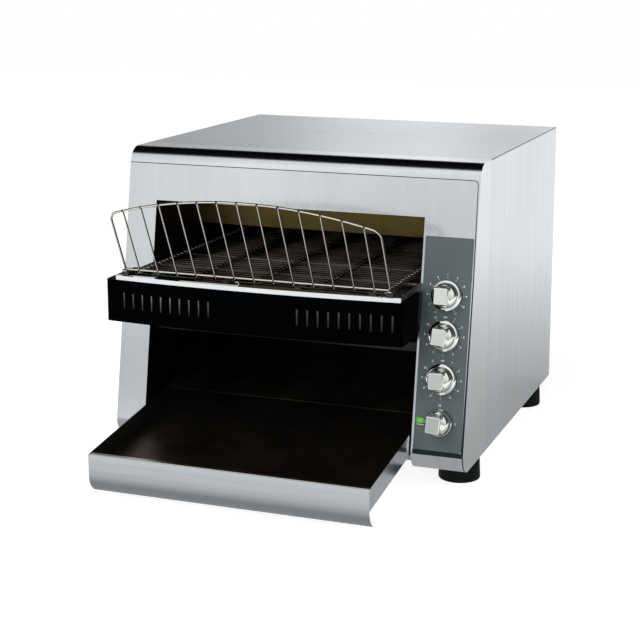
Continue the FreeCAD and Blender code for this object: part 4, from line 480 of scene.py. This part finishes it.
def wire_belt():
    """The flat wire belt: cross wires, each hooked over the next one at its strands."""
    left, right = BELT_LEFT, BELT_RIGHT
    strands = [left + 9, left + 96, left + 183, left + 270, right - 9]
    half_hook = 3.4
    length = 2 * (BELT_BACK - BELT_FRONT + math.pi * BELT_RADIUS)
    count = round(length / BELT_PITCH)
    pitch = length / count
    wires = []
    hooks = []
    for index in range(count):
        start = index * pitch
        reach = start + pitch * 1.1
        points = [belt_point(left + 1.2, reach - 1.0, 0.4), belt_point(left, start + pitch * 0.5, 0.2),
                  belt_point(left + 1.2, start)]
        for middle in strands:
            near_side, far_side = middle - half_hook, middle + half_hook
            points += [belt_point(near_side - 1.4, start), belt_point(near_side, start + 1.6),
                       belt_point(near_side, reach - 1.4, 0.5), belt_point(near_side + 1.2, reach, 0.6),
                       belt_point(far_side - 1.2, reach, 0.6), belt_point(far_side, reach - 1.4, 0.5),
                       belt_point(far_side, start + 1.6), belt_point(far_side + 1.4, start)]
        points += [belt_point(right - 1.2, start), belt_point(right, start + pitch * 0.5, 0.2),
                   belt_point(right - 1.2, reach - 1.0, 0.4)]
        wires.append(points)
        for middle in (strands[0], strands[-1]):
            hooks.append([belt_point(middle - half_hook, reach - 3.0, 0.8),
                          belt_point(middle - half_hook + 1.3, reach, 1.0),
                          belt_point(middle + half_hook - 1.3, reach, 1.0),
                          belt_point(middle + half_hook, reach - 3.0, 0.8)])
    finish_piece(wire_piece("belt_mesh", wires, 0.9, 2), "wire", "cabinet", ("conveyor_belt",))
    finish_piece(wire_piece("belt_edge_hooks", hooks, 0.95, 2), "hook", "cabinet",
                 ("conveyor_belt",))


def guard_point(across, up):
    """A point of the guard's plane, so far across it and so far up along it."""
    return place(GUARD_MIDDLE + across, GUARD_FOOT_BACK - up * math.sin(GUARD_LEAN),
                 GUARD_FOOT_UP + up * math.cos(GUARD_LEAN))


def guard_frame_points():
    half, rise, arch, corner, foot = GUARD_HALF, 119.0, 30.0, 14.0, 9.0
    radius = (half ** 2 + arch ** 2) / (2 * arch)
    low = rise - radius
    corner_up = low + math.sqrt((radius - corner) ** 2 - (half - corner) ** 2)
    turn = math.atan2(half - corner, corner_up - low)
    side = [(half, -foot), (half, corner_up)]
    side += [(half - corner + corner * math.cos(angle), corner_up + corner * math.sin(angle))
             for angle in [(math.pi / 2 - turn) * step / 8 for step in range(1, 9)]]
    top = [(radius * math.sin(turn * (1 - step / 24)), low + radius * math.cos(turn * (1 - step / 24)))
           for step in range(1, 48)]
    other = [(-across, up) for across, up in reversed(side)]
    return [guard_point(across, up) for across, up in side + top + other], radius, low


def wire_guard():
    """The guard's wires, with the bars welded behind the frame wire and the lower wire."""
    frame_points, radius, low = guard_frame_points()
    lower_wire = [guard_point(-GUARD_HALF, 0), guard_point(GUARD_HALF, 0)]
    outer = wire_piece("guard_frame", [frame_points, lower_wire], 1.6, 4)
    finish_piece(outer, "guard", "guard", ("wire_guard",))
    bars = []
    tops = []
    side_bars = GUARD_BARS // 2
    for index in range(GUARD_BARS):
        across = (index - side_bars) * (GUARD_HALF - GUARD_BAR_END) / side_bars
        top = low + math.sqrt(radius ** 2 - across ** 2)
        bars.append([guard_point(across, -4), guard_point(across, top)])
        tops.append((across, top))
    inner = wire_piece("guard_bars", bars, 1.25, 3)
    finish_piece(inner, "guard", "guard", ("wire_guard",))
    welds = bmesh.new()
    for across, top in tops:
        for up in (0.0, top):
            shape = Matrix.Diagonal((2.6 * MM, 1.9 * MM, 1.9 * MM, 1))
            bmesh.ops.create_icosphere(welds, subdivisions=2, radius=1.0,
                                       matrix=Matrix.Translation(guard_point(across, up)) @ shape)
    finish_piece(mesh_piece("guard_welds", welds, 60), "weld", "guard")
    loops = []
    for side in (-1, 1):
        loops.append([place(GUARD_MIDDLE + side * GUARD_HALF + 4.2 * math.cos(step * math.pi / 12),
                            -43.0 + 4.2 * math.sin(step * math.pi / 12), 249.0) for step in range(25)])
    finish_piece(wire_piece("guard_foot_loops", loops, 1.2, 3), "guard", "guard")


def strip_trim():
    """The small parts on the bright strip: a sprung wire with a curled end, and its screws."""
    curl = [place(-42 + 2.4 * math.sin(step * math.pi / 8), -46.6, 243.9 - 2.4 * math.cos(step * math.pi / 8))
            for step in range(12)]
    spring = [place(-124, -46.6, 240.8), place(-123, -46.6, 241.5)] + curl
    finish_piece(wire_piece("strip_spring", [spring], 0.7, 3), "guard", "cabinet")
    made = bmesh.new()
    for across in (-196.0, 152.0):
        head = bmesh.new()
        lathe(head, [(2.9, 0.0), (2.9, 0.5), (2.5, 1.4), (1.6, 2.1), (0.3, 2.3)], 24)
        for vert in head.verts:
            vert.co = place(across, -45.5, 240.7) + vert.co * MM
        data = bpy.data.meshes.new("screw_head")
        head.to_mesh(data)
        head.free()
        made.from_mesh(data)
        bpy.data.meshes.remove(data)
    finish_piece(mesh_piece("strip_screws", made, 40), "chrome", "cabinet")


def cover_arc(x, behind):
    """How far back the bowed cover's front lies at a place along X, moved back by so much."""
    radius = COVER_RADIUS - behind
    return COVER_RADIUS - COVER_REACH - math.sqrt(radius ** 2 - (x - COVER_MIDDLE) ** 2)


def slot_backing():
    """A thin grey sheet just behind the cover's slots, carrying painted light and shade."""
    made = bmesh.new()
    columns = []
    for step in range(40):
        x = -216 + 10 * step
        columns.append([made.verts.new(place(x, cover_arc(x, behind), up))
                        for behind, up in ((1.5, 192), (1.5, 221), (1.9, 221), (1.9, 192))])
    for near_side, far_side in zip(columns, columns[1:]):
        for corner in range(4):
            after = (corner + 1) % 4
            made.faces.new((near_side[corner], near_side[after], far_side[after], far_side[corner]))
    made.faces.new(columns[0])
    made.faces.new(columns[-1])
    finish_piece(mesh_piece("slot_backing", made, 40), "slots", "cabinet")


def on_fascia(x, along, proud=0.0):
    """A point on the fascia's skin: on the leaning face, and below it round the lower bend."""
    if along >= BEND_TOP:
        return on_face(x, along, proud)
    turn = (BEND_TOP - along) / BEND_RADIUS
    reach = BEND_RADIUS + proud
    return on_face(x, BEND_TOP - reach * math.sin(turn), reach * math.cos(turn) - BEND_RADIUS)


def skin_strip(made, rows, proud=0.05):
    """A strip on the fascia's skin through rows of (x, along) points."""
    lines = [[made.verts.new(on_fascia(x, along, proud)) for x, along in row] for row in rows]
    for first, second in zip(lines, lines[1:]):
        for step in range(len(first) - 1):
            made.faces.new((first[step], first[step + 1], second[step + 1], second[step]))


def face_lines():
    """Dark lines on the sheets: painted shade round the face, beside and below the panel, where the fascia
    bends away; and the dark line at the casing's seam.
    """
    made = bmesh.new()
    # Painted shade: thin strips along the top crease and round the corner, down the right edge widening lower
    # down, across the band under the panel and on down the lower bend.
    skin_strip(made, [[(-249.4, 383.7), (-249.4, 382.7)], [(241.0, 383.7), (241.0, 382.7)]]
               + [[(241.0 + reach * math.sin(turn), 376.9 + reach * math.cos(turn)) for reach in (6.8, 5.8)]
                  for turn in [step * math.pi / 16 for step in range(1, 9)]]
               + [[(249.7, along), (249.7 - width, along)] for along, width in
                  ((250.0, 1.5), (180.0, 1.9), (110.0, 2.4), (60.0, 2.9), (31.0, 3.2), (BEND_TOP, 3.2),
                   (26.6, 3.2), (BAND_LOW, 3.2))])
    skin_strip(made, [[(x, along) for along in (PANEL_LOW - 0.1, 29.8, BEND_TOP, 27.2, 26.0, BAND_LOW)]
                      for x in (PANEL_LEFT, 246.5)])
    skin_strip(made, [[(x, BAND_LOW - step * 3.2) for x in (249.8, 248.4)] for step in range(13)])
    finish_piece(mesh_piece("face_painted_shade_lines", made), "line", "cabinet")
    seam = [place(-249.6, 119.15, 2), place(-249.6, 119.15, 398.15), place(249.6, 119.15, 398.15),
            place(249.6, 119.15, 2)]
    finish_piece(wire_piece("casing_seam_line", [seam], 0.25, 1), "line", "cabinet")


def tray_hem():
    """The folded hem behind the top edge of the toast tray's front."""
    made = bmesh.new()
    profile = [(-155.4, 29.0), (-154.9, 29.6), (-149.4, 29.9), (-149.0, 29.3), (-154.6, 28.4)]
    ends = [[made.verts.new(place(x, back, up)) for back, up in profile] for x in (-205.2, 177.2)]
    for step in range(len(profile)):
        after = (step + 1) % len(profile)
        made.faces.new((ends[0][step], ends[0][after], ends[1][after], ends[1][step]))
    made.faces.new(ends[0])
    made.faces.new(ends[1])
    finish_piece(mesh_piece("tray_hem", made, 40), "hem", "toast_tray")


def ring_of(made, radius, height, count):
    return [made.verts.new((radius * math.cos(2 * math.pi * step / count),
                            radius * math.sin(2 * math.pi * step / count), height)) for step in range(count)]


def lathe(made, profile, count=72):
    """A turned solid about Z through (radius, height) pairs, closed at both ends."""
    rings = [ring_of(made, radius, height, count) for radius, height in profile]
    for low, high in zip(rings, rings[1:]):
        for step in range(count):
            after = (step + 1) % count
            made.faces.new((low[step], low[after], high[after], high[step]))
    made.faces.new(rings[0])
    made.faces.new(rings[-1])


def grip_bar(made):
    """The knob's grip: sloping ends, scooped sides, rounded edges and a flat front."""
    levels = [(2.0, 14.4, 9.6), (6.0, 14.1, 9.2), (10.0, 13.6, 8.8), (14.0, 13.0, 8.6), (18.0, 12.5, 8.7),
              (22.0, 12.0, 9.1), (25.5, 11.6, 9.5), (27.4, 11.3, 9.65), (28.3, 11.0, 9.4), (28.8, 10.4, 8.9),
              (29.0, 9.9, 8.4), (29.0, 9.6, 8.1)]
    corner = 1.5
    rings = []
    for up, half_length, half_width in levels:
        ring = []
        for quarter in range(4):
            turn = quarter * math.pi / 2
            middle_x = (half_width - corner) * (1 if quarter in (0, 3) else -1)
            middle_y = (half_length - corner) * (1 if quarter < 2 else -1)
            for step in range(5):
                angle = turn + step * math.pi / 8
                across = middle_x + corner * math.cos(angle)
                along = middle_y + corner * math.sin(angle)
                ring.append(made.verts.new((across, along, up)))
        rings.append(ring)
    for low, high in zip(rings, rings[1:]):
        for step in range(20):
            after = (step + 1) % 20
            made.faces.new((low[step], low[after], high[after], high[step]))
    made.faces.new(rings[0])
    made.faces.new(rings[-1])


KNOBS = {
    "power": ("power_turn", "power_dial", -3, 18.3),
    "bottom_heat": ("bottom_heat_turn", "bottom_heat_dial", 2, 20.5),
    "top_heat": ("top_heat_turn", "top_heat_dial", 176, 20.5),
    "speed": ("speed_turn", "speed_dial", 0, 20.5),
}


def knobs():
    """Four chrome knobs: a rimmed disc, a domed hub and a broad grip."""
    for name, (joint, body, angle, disc) in KNOBS.items():
        made = bmesh.new()
        lathe(made, [(3.05, 0.2), (disc - 0.7, 0.0), (disc - 0.2, 0.3), (disc, 0.9), (disc, 1.7),
                     (disc - 0.4, 2.5), (disc - 1.2, 3.2), (17.0, 3.9), (16.7, 4.3), (16.5, 5.2), (16.4, 7.4),
                     (16.0, 9.6), (15.0, 11.4), (13.2, 12.5), (10.4, 13.0), (5.0, 13.0), (0.6, 13.0)])
        grip_bar(made)
        for vert in made.verts:
            vert.co *= MM
        item = mesh_piece(name + "_chrome_knob", made, 35)
        centre = Vector(JOINTS[joint]["pos_m"]) + FACE_OUT * 2.4 * MM
        item.matrix_world = face_matrix(centre, math.radians(angle))
        finish_piece(item, "knob", body, (name + "_knob",))


def flat_tick(made, centre, angle, inner, outer, half_width):
    along = Vector((math.sin(angle), math.cos(angle)))
    side = Vector((along.y, -along.x)) * half_width
    middle = Vector(centre)
    corners = [middle + along * inner - side, middle + along * inner + side,
               middle + along * outer + side, middle + along * outer - side]
    made.faces.new([made.verts.new((*corner, 0)) for corner in corners])


PRINT_PROUD = 0.96
HEAT_MARKS = [(0, "OFF")] + [(30 * step, str(step)) for step in range(1, 12)]
DIALS = {
    "speed": (233.8, [(30 * step - 180, str(step)) for step in range(1, 12)]),
    "top_heat": (181.4, HEAT_MARKS),
    "bottom_heat": (125.0, HEAT_MARKS),
    "power": (68.8, [(0, "O"), (90, "I")]),
}


def print_text(name, words, x, along, size):
    data = bpy.data.curves.new(name, "FONT")
    data.body = words
    data.size = size * MM
    data.extrude = 0.01 * MM
    data.offset = 0.14 * MM
    data.align_x = "CENTER"
    data.align_y = "CENTER"
    item = bpy.data.objects.new(name, data)
    bpy.context.scene.collection.objects.link(item)
    item.matrix_world = face_matrix(on_face(x, along, PRINT_PROUD))
    finish_piece(item, "print", "cabinet")


def panel_print():
    """White ticks and plain numbers round the knobs, and a line under the lamp."""
    made = bmesh.new()
    for name, (along, marks) in DIALS.items():
        centre = (KNOB_LINE, along)
        for degrees, words in marks:
            if name != "power" and words != "OFF":
                flat_tick(made, centre, math.radians(degrees), 21.9, 23.3, 0.3)
    flat_tick(made, (LAMP_LINE, 64.0), math.pi / 2, -4.5, 4.5, 0.35)
    for face in made.faces:
        if face.normal.z < 0:
            face.normal_flip()
    for vert in made.verts:
        vert.co *= MM
    data = bpy.data.meshes.new("panel_lines")
    made.to_mesh(data)
    made.free()
    item = bpy.data.objects.new("panel_lines", data)
    bpy.context.scene.collection.objects.link(item)
    item.matrix_world = face_matrix(on_face(0, 0, PRINT_PROUD))
    finish_piece(item, "print", "cabinet")
    for name, (along, marks) in DIALS.items():
        for index, (degrees, words) in enumerate(marks):
            angle = math.radians(degrees)
            radius = 22.0 if name == "power" else 24.0 if words == "OFF" else 26.2
            size = 4.0 if name == "power" else 2.6 if words == "OFF" else 3.6
            print_text("%s_mark_%d" % (name, index), words, KNOB_LINE + radius * math.sin(angle),
                       along + radius * math.cos(angle), size)


# Stage

# Levels of the studio by the angle above the level line in front, in degrees, and by the place
# from left (-1) to right (1), in front of the toaster and behind it.
RISE_LEVELS = [(-180, 0.90), (-90, 0.40), (-5, 0.40), (0, 0.50), (3, 0.66), (5, 0.82), (10, 0.92), (22, 1.0),
               (66, 1.0), (76, 0.005), (149, 0.005), (158, 1.0), (180, 1.0)]
FRONT_LEVELS = [(-1, 0.35), (-0.85, 0.5), (-0.7, 0.84), (-0.50, 0.84), (-0.46, 1.0), (-0.38, 1.0),
                (-0.34, 0.86), (0.5, 0.86), (0.65, 0.15), (1, 0.12)]
BEHIND_LEVELS = [(-1, 0.40), (-0.45, 0.45), (-0.385, 0.57), (-0.342, 0.83), (-0.30, 0.93), (-0.275, 0.93),
                 (-0.255, 0.79), (-0.235, 0.73), (-0.2, 0.85), (0, 1.0), (0.5, 1.0), (0.65, 0.15),
                 (1, 0.12)]
# Painted shadow that metal sees on the floor: levels by the distance from the toaster in metres.
FLOOR_PAINTED_SHADOW_LEVELS = [(0.0, 0.40), (0.06, 0.40), (0.13, 0.50), (0.34, 0.59), (0.62, 0.73), (1.0, 0.90), (1.3, 0.98)]
FLOOR_REACH = 1.5


def set_stops(ramp, stops):
    """Spread a ramp's stops, each a place from 0 to 1 and a level of cool white."""
    elements = ramp.color_ramp.elements
    while len(elements) < len(stops):
        elements.new(0.5)
    for element, (spot, level) in zip(elements, stops):
        element.position = spot
        element.color = (level * 0.985, level * 0.995, level, 1)


def world_light():
    """A studio that metal reflects: bright in front, dark overhead and at the sides, pale behind."""
    world = bpy.data.worlds.new("studio")
    bpy.context.scene.world = world
    world.use_nodes = True
    tree = world.node_tree
    tree.nodes.clear()

    def add(kind, **settings):
        node = tree.nodes.new(kind)
        for key, value in settings.items():
            setattr(node, key, value)
        return node

    ray = add("ShaderNodeTexCoord")
    parts = add("ShaderNodeSeparateXYZ")
    tree.links.new(ray.outputs["Generated"], parts.inputs[0])
    forward = add("ShaderNodeMath", operation="MULTIPLY")
    tree.links.new(parts.outputs["Y"], forward.inputs[0])
    forward.inputs[1].default_value = -1
    angle = add("ShaderNodeMath", operation="ARCTAN2")
    tree.links.new(parts.outputs["Z"], angle.inputs[0])
    tree.links.new(forward.outputs[0], angle.inputs[1])
    share = add("ShaderNodeMapRange")
    tree.links.new(angle.outputs[0], share.inputs["Value"])
    share.inputs["From Min"].default_value = -math.pi
    share.inputs["From Max"].default_value = math.pi
    ramp = add("ShaderNodeValToRGB")
    tree.links.new(share.outputs[0], ramp.inputs["Fac"])
    set_stops(ramp, [((degrees + 180) / 360, level) for degrees, level in RISE_LEVELS])
    flat = add("ShaderNodeCombineXYZ")
    tree.links.new(parts.outputs["X"], flat.inputs["X"])
    tree.links.new(parts.outputs["Y"], flat.inputs["Y"])
    level_ray = add("ShaderNodeVectorMath", operation="NORMALIZE")
    tree.links.new(flat.outputs[0], level_ray.inputs[0])
    heading = add("ShaderNodeSeparateXYZ")
    tree.links.new(level_ray.outputs[0], heading.inputs[0])
    side_share = add("ShaderNodeMapRange")
    tree.links.new(heading.outputs["X"], side_share.inputs["Value"])
    side_share.inputs["From Min"].default_value = -1
    sides = []
    for side_stops in (FRONT_LEVELS, BEHIND_LEVELS):
        side = add("ShaderNodeValToRGB")
        tree.links.new(side_share.outputs[0], side.inputs["Fac"])
        set_stops(side, [((spot + 1) / 2, level) for spot, level in side_stops])
        sides.append(side)
    behind = add("ShaderNodeMapRange")
    tree.links.new(heading.outputs["Y"], behind.inputs["Value"])
    behind.inputs["From Min"].default_value = -0.1
    behind.inputs["From Max"].default_value = 0.1
    around = add("ShaderNodeMix", data_type="RGBA")
    tree.links.new(behind.outputs[0], around.inputs[0])
    tree.links.new(sides[0].outputs[0], around.inputs[6])
    tree.links.new(sides[1].outputs[0], around.inputs[7])
    both = add("ShaderNodeMix", data_type="RGBA", blend_type="MULTIPLY")
    both.inputs[0].default_value = 1.0
    tree.links.new(ramp.outputs["Color"], both.inputs[6])
    tree.links.new(around.outputs[2], both.inputs[7])
    seen = add("ShaderNodeBackground")
    seen.inputs["Color"].default_value = (1, 1, 1, 1)
    studio = add("ShaderNodeBackground")
    tree.links.new(both.outputs[2], studio.inputs["Color"])
    path = add("ShaderNodeLightPath")
    either = add("ShaderNodeMixShader")
    tree.links.new(path.outputs["Is Camera Ray"], either.inputs[0])
    tree.links.new(studio.outputs[0], either.inputs[1])
    tree.links.new(seen.outputs[0], either.inputs[2])
    out = add("ShaderNodeOutputWorld")
    tree.links.new(either.outputs[0], out.inputs["Surface"])


def floor():
    """A white floor that keeps the toaster's shadow, with a painted shadow, darkening towards the toaster,
    that only metal sees.
    """
    made = bmesh.new()
    corners = [(-6, -6), (6, -6), (6, 6), (-6, 6)]
    made.faces.new([made.verts.new((x, y, 0)) for x, y in corners])
    item = mesh_piece("studio_floor", made)
    paper = Tree("floor_paper")
    tree = paper.tree
    fibre = paper.noise(paper.place(), 40, 2.0, 0.5)
    paper.set(Base_Color=paper.ramp(fibre, [(0.3, (0.83, 0.835, 0.84)), (0.7, (0.85, 0.855, 0.86))]),
              Roughness=0.9)
    glow = paper.add("ShaderNodeEmission", {"Color": (1, 1, 1, 1), "Strength": 0.80})
    lit = paper.add("ShaderNodeAddShader", {0: paper.shader.outputs[0], 1: glow.outputs[0]})
    # Painted shadow for glossy rays: the floor's glow darkens towards the toaster and lifts faster in front
    # of it.
    parts = paper.axes(paper.place())
    reaches = []
    for axis, half in (("X", 0.25), ("Y", 0.34)):
        far = paper.add("ShaderNodeMath", {0: parts[axis]}, operation="ABSOLUTE").outputs[0]
        past = paper.add("ShaderNodeMath", {0: far, 1: half}, operation="SUBTRACT").outputs[0]
        if axis == "Y":
            ahead = paper.add("ShaderNodeMath", {0: parts[axis], 1: 0.0}, operation="LESS_THAN").outputs[0]
            faster = paper.add("ShaderNodeMath", {0: ahead, 1: 2.0, 2: 1.0},
                               operation="MULTIPLY_ADD").outputs[0]
            past = paper.add("ShaderNodeMath", {0: past, 1: faster}, operation="MULTIPLY").outputs[0]
        reaches.append(paper.add("ShaderNodeMath", {0: past, 1: 0.0}, operation="MAXIMUM").outputs[0])
    apart = paper.add("ShaderNodeCombineXYZ", {"X": reaches[0], "Y": reaches[1]}).outputs[0]
    distance = paper.add("ShaderNodeVectorMath", {0: apart}, operation="LENGTH").outputs["Value"]
    shade = paper.ramp(paper.spread(distance, 0.0, 1.0, 0.0, FLOOR_REACH),
                       [(spot / FLOOR_REACH, (level * 0.985, level * 0.995, level))
                        for spot, level in FLOOR_PAINTED_SHADOW_LEVELS])
    seen = paper.add("ShaderNodeEmission", {"Color": shade})
    path = paper.add("ShaderNodeLightPath").outputs
    first = paper.add("ShaderNodeMixShader", {0: path["Is Camera Ray"], 1: paper.shader.outputs[0],
                                              2: lit.outputs[0]})
    mirrored = paper.add("ShaderNodeMath", {0: path["Is Glossy Ray"], 1: path["Is Transmission Ray"]},
                         operation="MAXIMUM").outputs[0]
    second = paper.add("ShaderNodeMixShader", {0: mirrored, 1: first.outputs[0], 2: seen.outputs[0]})
    tree.links.new(second.outputs[0], tree.nodes["Material Output"].inputs["Surface"])
    item.data.materials.append(paper.material)


def area_lamp(name, spot, target, size, power):
    data = bpy.data.lights.new(name, "AREA")
    data.shape = "RECTANGLE"
    data.size, data.size_y = size
    data.energy = power
    item = bpy.data.objects.new(name, data)
    bpy.context.scene.collection.objects.link(item)
    item.location = spot
    item.rotation_mode = "QUATERNION"
    item.rotation_quaternion = (Vector(target) - Vector(spot)).to_track_quat("-Z", "Y")
    item.visible_glossy = False


def camera():
    """The photograph's point of view."""
    data = bpy.data.cameras.new("camera")
    item = bpy.data.objects.new("camera", data)
    bpy.context.scene.collection.objects.link(item)
    yaw, pitch, roll, focal = 0.33982, 0.1995, 0.00408, 1513.90
    forward = Vector((-math.sin(yaw) * math.cos(pitch), math.cos(yaw) * math.cos(pitch), -math.sin(pitch)))
    right = Vector((math.cos(yaw), math.sin(yaw), 0))
    up = right.cross(forward)
    turned_right = right * math.cos(roll) + up * math.sin(roll)
    turned_up = up * math.cos(roll) - right * math.sin(roll)
    rows = Matrix((turned_right, turned_up, -forward)).transposed().to_4x4()
    item.matrix_world = Matrix.Translation((0.73815, -1.98192, 0.70056)) @ rows
    data.sensor_width = 36
    data.lens = focal * 36 / 640
    data.shift_x = (320 - 355.876) / 640
    data.shift_y = (256.0 - 320) / 640
    bpy.context.scene.camera = item


dress_nodes()
wire_belt()
wire_guard()
strip_trim()
slot_backing()
face_lines()
tray_hem()
knobs()
panel_print()
floor()
world_light()
area_lamp("key", (-1.2, -2.4, 2.6), (0, 0, 0.2), (2.0, 2.0), 45)
area_lamp("fill", (2.2, -1.4, 1.6), (0, 0, 0.2), (1.6, 1.6), 18)
camera()
bpy.context.scene.view_settings.view_transform = "Standard"
